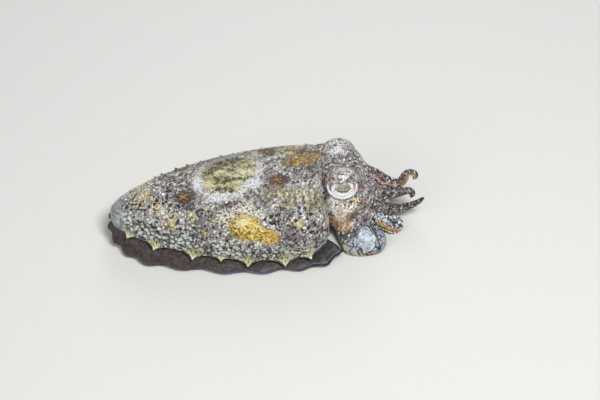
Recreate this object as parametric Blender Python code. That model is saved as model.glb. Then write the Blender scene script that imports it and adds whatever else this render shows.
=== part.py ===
"""Elegant cuttlefish lying on a floor, life size, as a still museum model.

The head points along +X, the animal's left side is +Y and up is +Z. The origin
lies on the floor under the belly. Sizes and places are in millimetres; MM turns
them into metres where a mesh is made.
"""

import math
import random

import bmesh
import bpy
from mathutils import Matrix, Vector

for old in list(bpy.data.objects):
    bpy.data.objects.remove(old, do_unlink=True)

MM = 0.001
GAP = 0.3
STATION_STEP = 0.004
UP = Vector((0.0, 0.0, 1.0))

# Driving dimensions of the mantle
TAIL_X = -31.6
LIP = 0.9
LIP_DROP = 0.7
LIP_FULL_WIDTH = 8.0
BACK_POWER = 2.15
BELLY_POWER = 2.6
DORSAL_STEPS = 18
VENTRAL_STEPS = 12
MANTLE_RINGS = 26
MIDLINE = 0.8
# Each station: distance from the tail, half width, heights of margin, back and belly
MANTLE_STATIONS = (
    (0.0, 1.0, 7.8, 9.2, 6.0),
    (0.7, 2.8, 7.5, 10.4, 4.6),
    (2.7, 4.8, 7.1, 11.9, 3.2),
    (6.3, 7.1, 6.4, 13.6, 1.6),
    (11.5, 9.6, 5.7, 15.5, 0.2),
    (19.0, 12.3, 4.9, 17.5, -0.8),
    (28.0, 14.6, 4.1, 19.2, -1.0),
    (37.0, 16.0, 3.5, 20.3, -1.0),
    (45.0, 16.5, 3.4, 20.9, -1.0),
    (51.5, 15.9, 3.9, 21.1, -0.8),
    (55.2, 14.2, 4.7, 21.1, -0.3),
    (57.2, 12.0, 5.6, 21.0, 0.3),
)
RIM_REACH = ((0, 2.4), (4, 1.7), (9, -0.3), (16, -1.3), (30, -1.7), (48, -1.8), (74, -1.2), (92, -0.4),
             (135, -1.6), (180, -2.4))
RIM_EASE = 9.0
RIM_TURN = 6.5
RIM_NOSE = 0.5

# Driving dimensions of the neck, the head and the eyes
HEAD_Y = 1.8
HEAD_POWER = 0.85
NECK_Y = 1.5
NECK_Z = 10.8
NECK_WIDTH = 8.7
NECK_HEIGHT = 7.6
NECK_BACK_X = 20.8
NECK_RING_X = (20.8, 22.4, 24.0)
EYE_X = 29.5
EYE_Z = 17.2
EYE_SPREAD = 5.6
BULGE = (4.9, 4.5, 4.4)
EYEBALL = (4.1, 3.7, 3.7)
EYE_ELEVATION = 22.0
# The left eye lies a little lower and closer in than the right one
LEFT_EYE_SHIFT = (0.35, -0.5, -0.9)
EYE_PUSH = 0.75
LID_LENGTH = 4.0
LID_HEIGHT = 2.75
LID_THICK = 0.62
LID_RINGS = 18
LID_SIDES = 6


def profile(stops, x):
    """Smooth value at x through stops of (x, value)."""
    if x <= stops[0][0]:
        return stops[0][1]
    if x >= stops[-1][0]:
        return stops[-1][1]
    i = max(k for k in range(len(stops) - 1) if stops[k][0] <= x)

    def slope(k):
        low = stops[max(k - 1, 0)]
        high = stops[min(k + 1, len(stops) - 1)]
        return (high[1] - low[1]) / (high[0] - low[0])

    span = stops[i + 1][0] - stops[i][0]
    f = (x - stops[i][0]) / span
    rise = (2 * f**3 - 3 * f**2 + 1) * stops[i][1] + (3 * f**2 - 2 * f**3) * stops[i + 1][1]
    return rise + span * ((f**3 - 2 * f**2 + f) * slope(i) + (f**3 - f**2) * slope(i + 1))


def along(points, t):
    """Point at t (0 to 1) on a smooth curve through the given points."""
    span = min(max(t, 0.0), 1.0) * (len(points) - 1)
    i = min(int(span), len(points) - 2)
    f = span - i
    b = Vector(points[i])
    c = Vector(points[i + 1])
    a = Vector(points[i - 1]) if i > 0 else 2 * b - c
    d = Vector(points[i + 2]) if i + 2 < len(points) else 2 * c - b
    return 0.5 * (2 * b + (c - a) * f + (2 * a - 5 * b + 4 * c - d) * f**2 + (3 * b - a - 3 * c + d) * f**3)


def power(value, exponent):
    """Signed power, which squares off an ellipse."""
    return math.copysign(abs(value) ** exponent, value)


def ease(value):
    value = min(max(value, 0.0), 1.0)
    return value * value * (3 - 2 * value)


def finish(name, colour, roughness):
    material = bpy.data.materials.new(name)
    material.use_nodes = True
    shader = material.node_tree.nodes["Principled BSDF"]
    shader.inputs["Base Color"].default_value = (*colour, 1.0)
    shader.inputs["Roughness"].default_value = roughness
    shader.inputs["Metallic"].default_value = 0.0
    return material


def make(name, mesh_builder, material=None):
    """Object from a bmesh built in millimetres, with its faces turned outward."""
    bmesh.ops.scale(mesh_builder, vec=(MM, MM, MM), verts=mesh_builder.verts)
    bmesh.ops.recalc_face_normals(mesh_builder, faces=mesh_builder.faces)
    mesh = bpy.data.meshes.new(name)
    mesh_builder.to_mesh(mesh)
    mesh_builder.free()
    mesh.shade_smooth()
    mesh.set_sharp_from_angle(angle=math.radians(50))
    piece = bpy.data.objects.new(name, mesh)
    bpy.context.scene.collection.objects.link(piece)
    if material:
        mesh.materials.append(material)
    return piece


def loft(rings):
    """Closed bmesh through rings of points, each end closed by a fan."""
    built = bmesh.new()
    rows = [[built.verts.new(point) for point in ring] for ring in rings]
    count = len(rows[0])
    for low, high in zip(rows, rows[1:]):
        for k in range(count):
            n = (k + 1) % count
            built.faces.new((low[k], low[n], high[n]))
            built.faces.new((low[k], high[n], high[k]))
    for row in (rows[0], rows[-1]):
        centre = built.verts.new(sum((vert.co for vert in row), Vector()) / count)
        for k in range(count):
            built.faces.new((row[k], row[(k + 1) % count], centre))
    return built


def slab(middle, normal, half):
    """Thin closed bmesh about a grid of points, triangles alike on both faces."""
    built = bmesh.new()
    rows = len(middle)
    columns = len(middle[0])
    faces = []
    for side in (1, -1):
        faces.append([[built.verts.new(middle[i][j] + side * half[i][j] * normal[i][j])
                       for j in range(columns)] for i in range(rows)])
    for grid in faces:
        for i in range(rows - 1):
            for j in range(columns - 1):
                built.faces.new((grid[i][j], grid[i + 1][j], grid[i + 1][j + 1]))
                built.faces.new((grid[i][j], grid[i + 1][j + 1], grid[i][j + 1]))
    border = [(i, 0) for i in range(rows)] + [(rows - 1, j) for j in range(1, columns)]
    border += [(i, columns - 1) for i in range(rows - 2, -1, -1)]
    border += [(0, j) for j in range(columns - 2, 0, -1)]
    for (i, j), (m, n) in zip(border, border[1:] + border[:1]):
        built.faces.new((faces[0][i][j], faces[0][m][n], faces[1][m][n]))
        built.faces.new((faces[0][i][j], faces[1][m][n], faces[1][i][j]))
    return built


def keep_largest(piece):
    """Keep only the closed surface that encloses the most."""
    built = bmesh.new()
    built.from_mesh(piece.data)
    unseen = set(built.verts)
    shells = []
    while unseen:
        shell = set()
        front = [unseen.pop()]
        while front:
            vert = front.pop()
            shell.add(vert)
            for edge in vert.link_edges:
                other = edge.other_vert(vert)
                if other in unseen:
                    unseen.discard(other)
                    front.append(other)
        shells.append(shell)

    def size(shell):
        low = [min(vert.co[k] for vert in shell) for k in range(3)]
        high = [max(vert.co[k] for vert in shell) for k in range(3)]
        return math.prod(high[k] - low[k] for k in range(3))

    shells.sort(key=size)
    loose = [vert for shell in shells[:-1] for vert in shell]
    bmesh.ops.delete(built, geom=loose, context="VERTS")
    built.to_mesh(piece.data)
    built.free()


def combine(body, pieces, operation="UNION", solver="EXACT"):
    """Join the closed pieces to the body, or cut them from it, in one Boolean."""
    if not pieces:
        return
    group = bpy.data.collections.new(body.name + "_pieces")
    bpy.context.scene.collection.children.link(group)
    for piece in pieces:
        bpy.context.scene.collection.objects.unlink(piece)
        group.objects.link(piece)
    joint = body.modifiers.new("combine", "BOOLEAN")
    joint.operand_type = "COLLECTION"
    joint.collection = group
    joint.operation = operation
    joint.solver = solver
    bpy.context.view_layer.objects.active = body
    with bpy.context.temp_override(object=body, active_object=body):
        bpy.ops.object.modifier_apply(modifier=joint.name)
    for piece in pieces:
        bpy.data.objects.remove(piece, do_unlink=True)
    bpy.data.collections.remove(group)
    keep_largest(body)


# Finishes, one for each sort of surface
MANTLE_SKIN = finish("mantle_skin", (0.52, 0.47, 0.46), 0.5)
FIN_SKIN = finish("fin_skin", (0.10, 0.07, 0.09), 0.4)
HEAD_SKIN = finish("head_skin", (0.62, 0.55, 0.50), 0.5)
ARM_SKIN = finish("arm_skin", (0.58, 0.52, 0.53), 0.5)
EYE_GLOSS = finish("eye_gloss", (0.80, 0.80, 0.78), 0.1)
FUNNEL_SKIN = finish("funnel_skin", (0.70, 0.66, 0.64), 0.45)


# The mantle: a dome over a flat belly, with a lip along each side
def station(t):
    """Along, half width, margin, back and belly at t (0 tail, 1 front)."""
    return along(MANTLE_STATIONS, t)


def rim_shift(distance, angle):
    """How far the mantle's front edge stands ahead of or behind its last station."""
    reach = profile(RIM_REACH, abs((angle + RIM_TURN + 180) % 360 - 180))
    front = MANTLE_STATIONS[-1][0]
    return reach * ease((distance - front + RIM_EASE) / RIM_EASE)


def mantle_point(t, angle):
    """Skin point; angle 0 is the ridge of the back, 90 the right margin, 180 the belly."""
    distance, width, margin, back, belly = station(t)
    turn = math.radians(angle)
    if abs(angle) <= 90:
        y = -width * power(math.sin(turn), 2 / BACK_POWER)
        z = margin + (back - margin) * abs(math.cos(turn)) ** (2 / BACK_POWER)
    else:
        lip = LIP * min(1.0, width / LIP_FULL_WIDTH)
        drop = LIP_DROP * min(1.0, width / LIP_FULL_WIDTH)
        y = -(width - lip) * power(math.sin(turn), 2 / BELLY_POWER)
        z = margin - drop - (margin - drop - belly) * abs(math.cos(turn)) ** (2 / BELLY_POWER)
        z = max(z, 0.0)
    return Vector((TAIL_X + distance + rim_shift(distance, angle), y, z))


def ring_angles():
    spread = [1 - 2 * k / DORSAL_STEPS for k in range(DORSAL_STEPS + 1)]
    dorsal = [45 * (s + s**3) for s in spread]
    left = [-91 - 88 * k / (VENTRAL_STEPS / 2) for k in range(VENTRAL_STEPS // 2 + 1)]
    right = [180 - 88 * (k + 0.5) / (VENTRAL_STEPS / 2) for k in range(VENTRAL_STEPS // 2)]
    return dorsal + left + right + [91]


def neck_point(x, angle, spare):
    """Neck outline at x, made larger all round by spare."""
    turn = math.radians(angle)
    y = NECK_Y - (NECK_WIDTH + spare) * power(math.sin(turn), HEAD_POWER)
    z = NECK_Z + (NECK_HEIGHT + spare) * power(math.cos(turn), HEAD_POWER)
    return Vector((x, y, z))


# Fringe flaps stand out along the margin, and warts stand up on the back
FRINGE_PLACES = (-27.0, -20.3, -10.6, -3.6, 3.4, 12.9, 19.5)
FRINGE_SIZES = (0.75, 1.0, 1.05, 0.6, 1.1, 1.1, 0.8)
FRINGE_BASE = 2.7
FRINGE_CLIMB = 2.4
FRINGE_REACH = 1.9
FRINGE_RIBS = 3
FRINGE_WANDER = 0.5
FRINGE_DROOP = 0.2
FRINGE_ROOT = (1.6, 0.9)
RIB_RISE = 0.35
WARTS = ((-24.5, -1.9, 0.8), (-26.6, -3.2, 0.7), (-22.8, -0.1, 0.9), (-19.3, -4.9, 1.0), (-18.0, -7.2, 0.9),
         (-21.1, -8.0, 0.7), (-15.8, -9.1, 1.0), (-12.1, -3.8, 1.0), (-10.3, -9.4, 0.9), (-7.3, -12.2, 0.9),
         (-11.9, -12.0, 0.7), (-4.8, -13.7, 0.8), (2.3, -10.4, 0.7), (12.4, -3.7, 1.0), (8.5, -9.0, 0.8),
         (17.0, -8.5, 0.8), (21.0, -5.0, 0.7), (14.5, -13.4, 0.7))
WART_SPREAD = 0.75
WART_HEIGHT = 1.15
WART_SIDES = 5
WART_ROOT = 0.5
WART_WAIST = 0.5
WART_FOOT = 1.1
WART_NECK = 0.45
WART_WANDER = 0.8
WART_VARY = 0.15


def station_at(x):
    """Station t whose plain section stands at x."""
    low = 0.0
    high = 1.0
    for _ in range(24):
        middle = (low + high) / 2
        if TAIL_X + station(middle)[0] < x:
            low = middle
        else:
            high = middle
    return low


def back_point(x, y):
    """Point of the back over x and y."""
    t = station_at(x)
    width = station(t)[1]
    share = min(abs(y) / width, 1.0) ** (BACK_POWER / 2)
    return mantle_point(t, math.copysign(math.degrees(math.asin(share)), -y))


def back_normal(x, y):
    step = 0.2
    ahead = back_point(x + step, y) - back_point(x - step, y)
    across = back_point(x, y + step) - back_point(x, y - step)
    return ahead.cross(across).normalized()


def stud(name, base, normal, sides, low, high, crown):
    """Small closed form standing on base; low and high are (lift, radius), crown its middle's lift."""
    across = normal.orthogonal().normalized()
    other = normal.cross(across)
    spokes = []
    for k in range(sides):
        turn = 2 * math.pi * k / sides
        spokes.append(across * math.cos(turn) + other * math.sin(turn))
    rings = [[base + normal * lift + spoke * radius for spoke in spokes] for lift, radius in (low, high)]
    built = loft(rings)
    top = base + normal * high[0]
    middle = min(built.verts, key=lambda vert: (vert.co - top).length)
    middle.co = base + normal * crown
    return make(name, built)


def wart(base, normal, spread, height):
    """Pointed wart with its root sunk in the skin."""
    low = (-WART_ROOT, spread * WART_FOOT)
    high = (WART_WAIST * height, spread * WART_NECK)
    return stud("wart", base, normal, WART_SIDES, low, high, height)


def skin_at(t, side, height):
    """Skin point on one side, at a height above the margin."""
    margin, back = station(t)[2:4]
    share = (max(height, 0.0) / (back - margin)) ** (BACK_POWER / 2)
    return mantle_point(t, -side * (90 - math.degrees(math.asin(min(share, 1.0)))))


def fringe_flap(x, side, size):
    """Ribbed fan that runs from the back's edge to a point beyond the margin."""
    t = station_at(x)
    margin = skin_at(t, side, 0.0)
    step = STATION_STEP
    run = skin_at(t + step, side, 0.0) - skin_at(t - step, side, 0.0)
    pace = run.length / (2 * step)
    run.z = 0
    run.normalize()
    out = Vector((-run.y * side, run.x * side, 0))
    built = bmesh.new()
    tip = built.verts.new(margin + out * FRINGE_REACH * size - UP * FRINGE_DROOP)
    root = built.verts.new(margin - out * FRINGE_ROOT[0] + UP * FRINGE_ROOT[1])
    rim = []
    for k in range(2 * FRINGE_RIBS + 1):
        turn = math.pi * k / (2 * FRINGE_RIBS)
        place = t - FRINGE_BASE * size * math.cos(turn) / pace
        point = skin_at(place, side, FRINGE_CLIMB * size * math.sin(turn))
        rise = RIB_RISE if k % 2 else -RIB_RISE / 2
        rim.append(built.verts.new(point + (out + UP * math.sin(turn)).normalized() * rise))
    for low, high in zip(rim, rim[1:]):
        built.faces.new((tip, low, high))
        built.faces.new((root, high, low))
    built.faces.new((tip, root, rim[0]))
    built.faces.new((tip, rim[-1], root))
    return make("fringe", built)


def mantle_growths():
    draw = random.Random(4)
    grown = []
    for side in (-1, 1):
        for x, size in zip(FRINGE_PLACES, FRINGE_SIZES):
            shift = draw.uniform(-FRINGE_WANDER, FRINGE_WANDER) if side > 0 else 0.0
            grown.append(fringe_flap(x + shift, side, size))
        for x, y, size in WARTS:
            if side > 0:
                x += draw.uniform(-WART_WANDER, WART_WANDER)
                y = 2 * MIDLINE - y
            height = WART_HEIGHT * size * draw.uniform(1 - WART_VARY, 1 + WART_VARY)
            grown.append(wart(back_point(x, y), back_normal(x, y), WART_SPREAD * size, height))
    return grown


def make_mantle():
    angles = ring_angles()
    rings = [[mantle_point(k / MANTLE_RINGS, a) for a in angles] for k in range(MANTLE_RINGS + 1)]
    rim = rings[-1]
    inner = [neck_point(point.x - GAP, a, GAP) for point, a in zip(rim, angles)]
    nose = [(outer + within) / 2 + Vector((RIM_NOSE, 0, 0)) for outer, within in zip(rim, inner)]
    floor = [neck_point(NECK_BACK_X - GAP, a, GAP) for a in angles]
    return make("mantle", loft(rings + [nose, inner, floor]), MANTLE_SKIN)


mantle = make_mantle()
combine(mantle, mantle_growths())


# The fins: a ribbon under the lip, from the tail to beside the neck
FIN_ROOT_THICK = 1.2
FIN_EDGE_THICK = 0.55
FIN_COLUMNS = 5
FIN_BOW = 0.9
FIN_LENGTHS = (("rear", 0.02, 0.36, 13), ("middle", 0.365, 0.68, 12), ("front", 0.685, 0.985, 12))
# Each stop: place along the fin, how far its edge stands out, and the edge's height
FIN_REACH = ((0.0, 0.5), (0.06, 0.8), (0.16, 1.9), (0.28, 3.2), (0.4, 3.5), (0.55, 2.8), (0.72, 2.8),
             (0.88, 3.6), (0.97, 4.2), (1.0, 3.4))
FIN_EDGE_Z = ((0.0, 5.4), (0.06, 3.8), (0.14, 1.8), (0.26, 1.0), (0.5, 0.9), (0.8, 1.0), (0.92, 1.5),
              (1.0, 2.6))
FIN_WAVES = 9.5
FIN_WAVE_OUT = 0.45
FIN_WAVE_UP = 0.35
FLOOR_SPARE = 0.35
FIN_GAP = 0.5


def side_point(t, drop, side):
    """Point on the mantle's side under the lip, drop below the lip's foot."""
    distance, width, margin, back, belly = station(t)
    lip = LIP * min(1.0, width / LIP_FULL_WIDTH)
    foot = margin - LIP_DROP * min(1.0, width / LIP_FULL_WIDTH)
    share = min(drop / (foot - belly), 0.98)
    y = side * (width - lip) * (1 - share**BELLY_POWER) ** (1 / BELLY_POWER)
    x = TAIL_X + distance + rim_shift(distance, -side * (92 + 30 * share))
    return Vector((x, y, foot - drop))


def outward(t, drop, side):
    """Level direction away from the mantle's side."""
    step = STATION_STEP
    run = side_point(min(t + step, 1.0), drop, side) - side_point(max(t - step, 0.0), drop, side)
    run.z = 0
    run.normalize()
    return Vector((-run.y * side, run.x * side, 0)).normalized()


def fin_section(t, side):
    """Middle line, normals and half thickness across the fin at t."""
    distance, width, margin, back, belly = station(t)
    room = margin - LIP_DROP * min(1.0, width / LIP_FULL_WIDTH) - belly
    thick = min(FIN_ROOT_THICK, room * 0.42)
    high = side_point(t, FIN_GAP, side) + FIN_GAP * outward(t, FIN_GAP, side)
    low = side_point(t, FIN_GAP + thick, side) + FIN_GAP * outward(t, FIN_GAP + thick, side)
    root = (high + low) / 2
    wave = math.sin(2 * math.pi * FIN_WAVES * t + (0.0 if side < 0 else 1.3))
    swell = math.sin(2 * math.pi * FIN_WAVES * t * 0.37 + 0.8)
    reach = profile(FIN_REACH, t) + FIN_WAVE_OUT * (wave + 0.6 * swell)
    height = profile(FIN_EDGE_Z, t) + FIN_WAVE_UP * (1 + math.sin(2 * math.pi * FIN_WAVES * t + 2.0)) * 0.5
    edge = root + reach * outward(t, GAP, side)
    edge.z = min(height, root.z)
    bend = root.lerp(edge, 0.62)
    bend.z = root.z + FIN_BOW * 0.35
    middle = []
    for j in range(FIN_COLUMNS + 1):
        v = j / FIN_COLUMNS
        middle.append((1 - v) ** 2 * root + 2 * v * (1 - v) * bend + v**2 * edge)
    normals = []
    half = []
    for j in range(FIN_COLUMNS + 1):
        run = middle[min(j + 1, FIN_COLUMNS)] - middle[max(j - 1, 0)]
        run.normalize()
        normal = UP - run * run.dot(UP)
        normal.normalize()
        normals.append(normal)
        v = j / FIN_COLUMNS
        half.append((thick + (FIN_EDGE_THICK - thick) * min(1.0, 1.3 * v)) / 2)
    normals[0] = (high - low).normalized()
    half[0] = (high - low).length / 2
    for j in range(1, FIN_COLUMNS + 1):
        lowest = middle[j].z - half[j] * normals[j].z
        middle[j].z += max(0.0, FLOOR_SPARE - lowest)
    return middle, normals, half


def make_fin(name, side, start, end, rows):
    middle = []
    normals = []
    half = []
    for k in range(rows + 1):
        across = fin_section(start + (end - start) * k / rows, side)
        middle.append(across[0])
        normals.append(across[1])
        half.append(across[2])
    return make(name, slab(middle, normals, half), FIN_SKIN)


for side_name, side in (("right", -1), ("left", 1)):
    for length_name, start, end, rows in FIN_LENGTHS:
        make_fin(f"fin_{side_name}_{length_name}", side, start, end, rows)


# The head: a neck in the mantle's mouth, cheeks, two eye bulges and a blunt face
HEAD_SIDES = 28
HEAD_RINGS = 10
HEAD_JOWL = 0.3
# Each station: x, middle y, half width, lowest z and highest z
HEAD_STATIONS = (
    (25.6, 1.5, 8.7, 3.2, 18.4),
    (26.4, 1.6, 9.3, 2.7, 18.3),
    (28.0, 1.8, 10.2, 2.3, 18.0),
    (30.5, 1.8, 10.4, 2.2, 17.6),
    (32.6, 1.8, 9.5, 2.1, 16.7),
    (34.2, 1.8, 8.2, 2.2, 15.5),
)


def head_ring(t):
    x, middle, width, low, high = along(HEAD_STATIONS, t)
    points = []
    for k in range(HEAD_SIDES):
        turn = 2 * math.pi * k / HEAD_SIDES
        jowl = HEAD_POWER - HEAD_JOWL * ease(t * 4) * ease(-math.cos(turn) * 1.5)
        y = middle - width * power(math.sin(turn), jowl)
        z = (low + high) / 2 + (high - low) / 2 * power(math.cos(turn), jowl)
        points.append(Vector((x, y, z)))
    return points


def ball(name, centre, radii, turn, subdivisions=3):
    """Closed ellipsoid with its own turned axes."""
    built = bmesh.new()
    bmesh.ops.create_icosphere(built, subdivisions=subdivisions, radius=1.0)
    bmesh.ops.scale(built, vec=radii, verts=built.verts)
    bmesh.ops.transform(built, matrix=turn.to_4x4(), verts=built.verts)
    bmesh.ops.translate(built, vec=centre, verts=built.verts)
    return make(name, built)


def eye_frame(side):
    """Bulge centre and the turned axes of one eye: length, outward, upward."""
    lift = math.radians(EYE_ELEVATION)
    outward_axis = Vector((0.08, side * math.cos(lift), math.sin(lift))).normalized()
    length_axis = Vector((1, 0, 0)) - outward_axis * outward_axis.x
    length_axis.normalize()
    upward_axis = length_axis.cross(outward_axis) * -side
    centre = Vector((EYE_X, HEAD_Y + side * EYE_SPREAD, EYE_Z))
    if side > 0:
        centre += Vector(LEFT_EYE_SHIFT)
    return centre, length_axis, outward_axis, upward_axis


def axes(length_axis, outward_axis, upward_axis):
    return Matrix((length_axis, outward_axis, upward_axis)).transposed()


def lid_ring(side):
    """Fold of skin round one eye, heavier above."""
    centre, length_axis, outward_axis, upward_axis = eye_frame(side)
    built = bmesh.new()
    rows = []
    for k in range(LID_RINGS):
        turn = 2 * math.pi * k / LID_RINGS
        spoke = length_axis * math.cos(turn) * LID_LENGTH + upward_axis * math.sin(turn) * LID_HEIGHT
        share = (math.cos(turn) * LID_LENGTH / BULGE[0]) ** 2 + (math.sin(turn) * LID_HEIGHT / BULGE[2]) ** 2
        depth = BULGE[1] * math.sqrt(1 - share)
        middle = centre + spoke + outward_axis * (depth + 0.1)
        thick = LID_THICK * (1.0 + 0.35 * math.sin(turn))
        away = spoke.normalized()
        rows.append([])
        for j in range(LID_SIDES):
            roll = 2 * math.pi * j / LID_SIDES
            point = middle + away * math.cos(roll) * thick + outward_axis * math.sin(roll) * thick
            rows[-1].append(built.verts.new(point))
    for row, after in zip(rows, rows[1:] + rows[:1]):
        for j in range(LID_SIDES):
            n = (j + 1) % LID_SIDES
            built.faces.new((row[j], row[n], after[n]))
            built.faces.new((row[j], after[n], after[j]))
    return make("lid", built)


def make_head():
    neck = [[neck_point(x, 360 * k / HEAD_SIDES, 0.0) for k in range(HEAD_SIDES)] for x in NECK_RING_X]
    cheeks = [head_ring(k / HEAD_RINGS) for k in range(HEAD_RINGS + 1)]
    head = make("head", loft(neck + cheeks), HEAD_SKIN)
    grown = []
    sockets = []
    for side in (-1, 1):
        centre, length_axis, outward_axis, upward_axis = eye_frame(side)
        turn = axes(length_axis, outward_axis, upward_axis)
        grown.append(ball("bulge", centre, BULGE, turn))
        grown.append(lid_ring(side))
        socket = [radius + GAP for radius in EYEBALL]
        sockets.append(ball("socket", centre + outward_axis * EYE_PUSH, socket, turn))
    combine(head, grown, solver="MANIFOLD")
    combine(head, sockets, "DIFFERENCE", "MANIFOLD")
    for side_name, side in (("right", -1), ("left", 1)):
        centre, length_axis, outward_axis, upward_axis = eye_frame(side)
        turn = axes(length_axis, outward_axis, upward_axis)
        eye = ball(f"eye_{side_name}", centre + outward_axis * EYE_PUSH, EYEBALL, turn)
        eye.data.materials.append(EYE_GLOSS)


make_head()


# The funnel under the neck and the mouth inside the crown of arms
TUBE_SIDES = 16
FUNNEL_RINGS = 7
# Each station: x, middle z, half width, half height
FUNNEL_STATIONS = (
    (24.3, 1.1, 3.2, 0.75),
    (26.5, 1.1, 2.9, 0.75),
    (29.0, 1.1, 2.2, 0.75),
    (31.4, 1.1, 1.6, 0.7),
)
MOUTH_Z = 7.6
# Each station: x and radius of the lips round the mouth
MOUTH_STATIONS = ((34.5, 1.8), (35.6, 1.75), (36.4, 1.5), (37.0, 1.45), (37.5, 1.1), (37.3, 0.7),
                  (36.7, 0.35))


def oval(x, z, wide, high):
    """Upright oval ring at x on the head's mid-plane."""
    turns = [2 * math.pi * j / TUBE_SIDES for j in range(TUBE_SIDES)]
    return [Vector((x, HEAD_Y + wide * math.cos(turn), z + high * math.sin(turn))) for turn in turns]


def make_funnel():
    stations = [along(FUNNEL_STATIONS, k / FUNNEL_RINGS) for k in range(FUNNEL_RINGS + 1)]
    make("funnel", loft([oval(*station) for station in stations]), FUNNEL_SKIN)


def make_mouth():
    make("mouth", loft([oval(x, MOUTH_Z, radius, radius) for x, radius in MOUTH_STATIONS]), FUNNEL_SKIN)


make_funnel()
make_mouth()


# The arms: four pairs round the mouth, the lowest pair spread as broad flaps
ARM_BASE_X = 34.5
ARM_SIDES = 10
ARM_PATHS = {
    "right_1": ((34.5, -0.2, 13.2), (37.8, -0.5, 10.6), (41.0, -0.6, 8.2), (43.6, -0.6, 7.2),
                (46.2, -0.5, 7.6), (48.2, -0.5, 7.9), (49.3, -0.6, 6.8), (48.8, -0.8, 5.2)),
    "left_1": ((34.5, 4.0, 13.3), (38.0, 3.6, 11.3), (41.2, 3.1, 8.9), (43.8, 2.5, 7.7), (45.8, 2.1, 8.1),
               (46.9, 2.0, 9.6), (47.3, 1.9, 11.3), (48.2, 1.8, 12.6), (49.7, 1.7, 12.4), (50.2, 1.6, 11.1),
               (49.6, 1.5, 10.2)),
    "right_2": ((34.5, -3.6, 10.3), (37.6, -3.8, 8.1), (40.6, -3.7, 5.8), (43.8, -3.4, 4.4),
                (47.0, -3.2, 4.4), (49.8, -3.2, 5.6), (51.8, -3.1, 7.4)),
    "left_2": ((34.5, 7.3, 10.3), (37.6, 7.2, 8.2), (40.6, 6.7, 5.8), (43.2, 5.9, 4.3), (45.6, 5.3, 3.4),
               (47.6, 4.8, 2.9)),
    "right_3": ((34.5, -5.0, 6.1), (37.6, -5.9, 4.6), (40.6, -6.5, 3.5), (43.4, -7.0, 2.6),
                (45.6, -8.1, 1.8)),
    "left_3": ((34.5, 8.7, 6.1), (37.6, 9.5, 4.8), (40.2, 9.6, 3.6), (42.2, 8.8, 2.5), (43.8, 7.5, 1.9)),
}
# Half width and half thickness along each pair, from base to tip
ARM_WIDTHS = {
    "1": ((0.0, 1.85), (0.2, 1.7), (0.4, 1.25), (0.7, 0.95), (0.9, 0.75), (1.0, 0.35)),
    "2": ((0.0, 1.75), (0.2, 1.6), (0.5, 1.3), (0.75, 0.95), (0.9, 0.7), (1.0, 0.4)),
    "3": ((0.0, 1.55), (0.25, 1.5), (0.5, 1.75), (0.75, 2.3), (0.93, 1.6), (1.0, 0.6)),
}
ARM_THICKS = {
    "1": ((0.0, 1.9), (0.2, 1.8), (0.4, 1.3), (0.7, 0.8), (0.9, 0.6), (1.0, 0.35)),
    "2": ((0.0, 1.75), (0.2, 1.7), (0.5, 1.2), (0.75, 0.85), (0.9, 0.7), (1.0, 0.4)),
    "3": ((0.0, 1.5), (0.4, 1.3), (0.75, 1.1), (0.93, 0.9), (1.0, 0.5)),
}
ARM_CUTS = {"1": (0.0, 0.34, 0.58, 1.0), "2": (0.0, 0.5, 1.0), "3": (0.0, 0.5, 1.0)}
LENGTH_NAMES = {3: ("base", "middle", "tip"), 2: ("base", "tip")}
RING_PACE = 1.5
SUCKER_SIDES = 5
SUCKER_PACE = 2.0
SUCKER_SIZE = 0.28
SUCKER_LEAST = 0.22
SUCKER_ROW = 0.4
SUCKER_ROOT = 1.2
SUCKER_FOOT = 0.7
SUCKER_LIFT = 0.5
SUCKER_DIMPLE = 0.15
SUCKER_MARGIN = 0.95
SUCKER_START = 0.7
FRAME_STEPS = 480
CUT_GAP = 0.34


def arm_frames(path):
    """Centre, direction, outer side and breadth at even steps along an arm."""
    centres = [along(path, k / FRAME_STEPS) for k in range(FRAME_STEPS + 1)]
    outer = centres[0] - Vector((ARM_BASE_X, HEAD_Y, MOUTH_Z))
    frames = []
    for k, centre in enumerate(centres):
        run = centres[min(k + 1, FRAME_STEPS)] - centres[max(k - 1, 0)]
        run.normalize()
        outer = (outer - run * outer.dot(run)).normalized()
        frames.append((centre, run, outer, run.cross(outer)))
    return frames


def arm_ring(frames, t, pair, shift=0.0):
    """Outline at t, slid by shift along the arm where a length ends."""
    centre, run, outer, breadth = frames[round(t * FRAME_STEPS)]
    centre = centre + run * shift
    wide = profile(ARM_WIDTHS[pair], t)
    thick = profile(ARM_THICKS[pair], t)
    ring = []
    for k in range(ARM_SIDES):
        turn = 2 * math.pi * k / ARM_SIDES
        point = centre + breadth * wide * math.sin(turn) + outer * thick * math.cos(turn)
        if t == 0:
            point += run * (ARM_BASE_X - point.x) / run.x
        ring.append(point)
    return ring


def sucker(base, normal, radius):
    """Small cup with a dimple, its root sunk in the arm."""
    low = (-SUCKER_ROOT * radius, SUCKER_FOOT * radius)
    high = (SUCKER_LIFT * radius, radius)
    return stud("sucker", base, normal, SUCKER_SIDES, low, high, SUCKER_DIMPLE * radius)


def arm_suckers(frames, pair, start, end, length):
    """Two rows of suckers on the inner face, smaller towards the tip."""
    grown = []
    first = start * length + SUCKER_MARGIN + (SUCKER_START if start == 0 else 0.0)
    last = end * length - (SUCKER_MARGIN if end < 1 else SUCKER_LEAST)
    count = round((last - first) / SUCKER_PACE)
    for k in range(count + 1):
        t = (first + (last - first) * k / count) / length
        centre, run, outer, breadth = frames[round(t * FRAME_STEPS)]
        wide = profile(ARM_WIDTHS[pair], t)
        thick = profile(ARM_THICKS[pair], t)
        radius = max(SUCKER_SIZE * wide, SUCKER_LEAST)
        for row in (-1, 1):
            slant = (breadth * row * SUCKER_ROW - outer).normalized()
            place = breadth * row * SUCKER_ROW * wide - outer * thick * math.sqrt(1 - SUCKER_ROW**2)
            grown.append(sucker(centre + place, slant, radius))
    return grown


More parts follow.
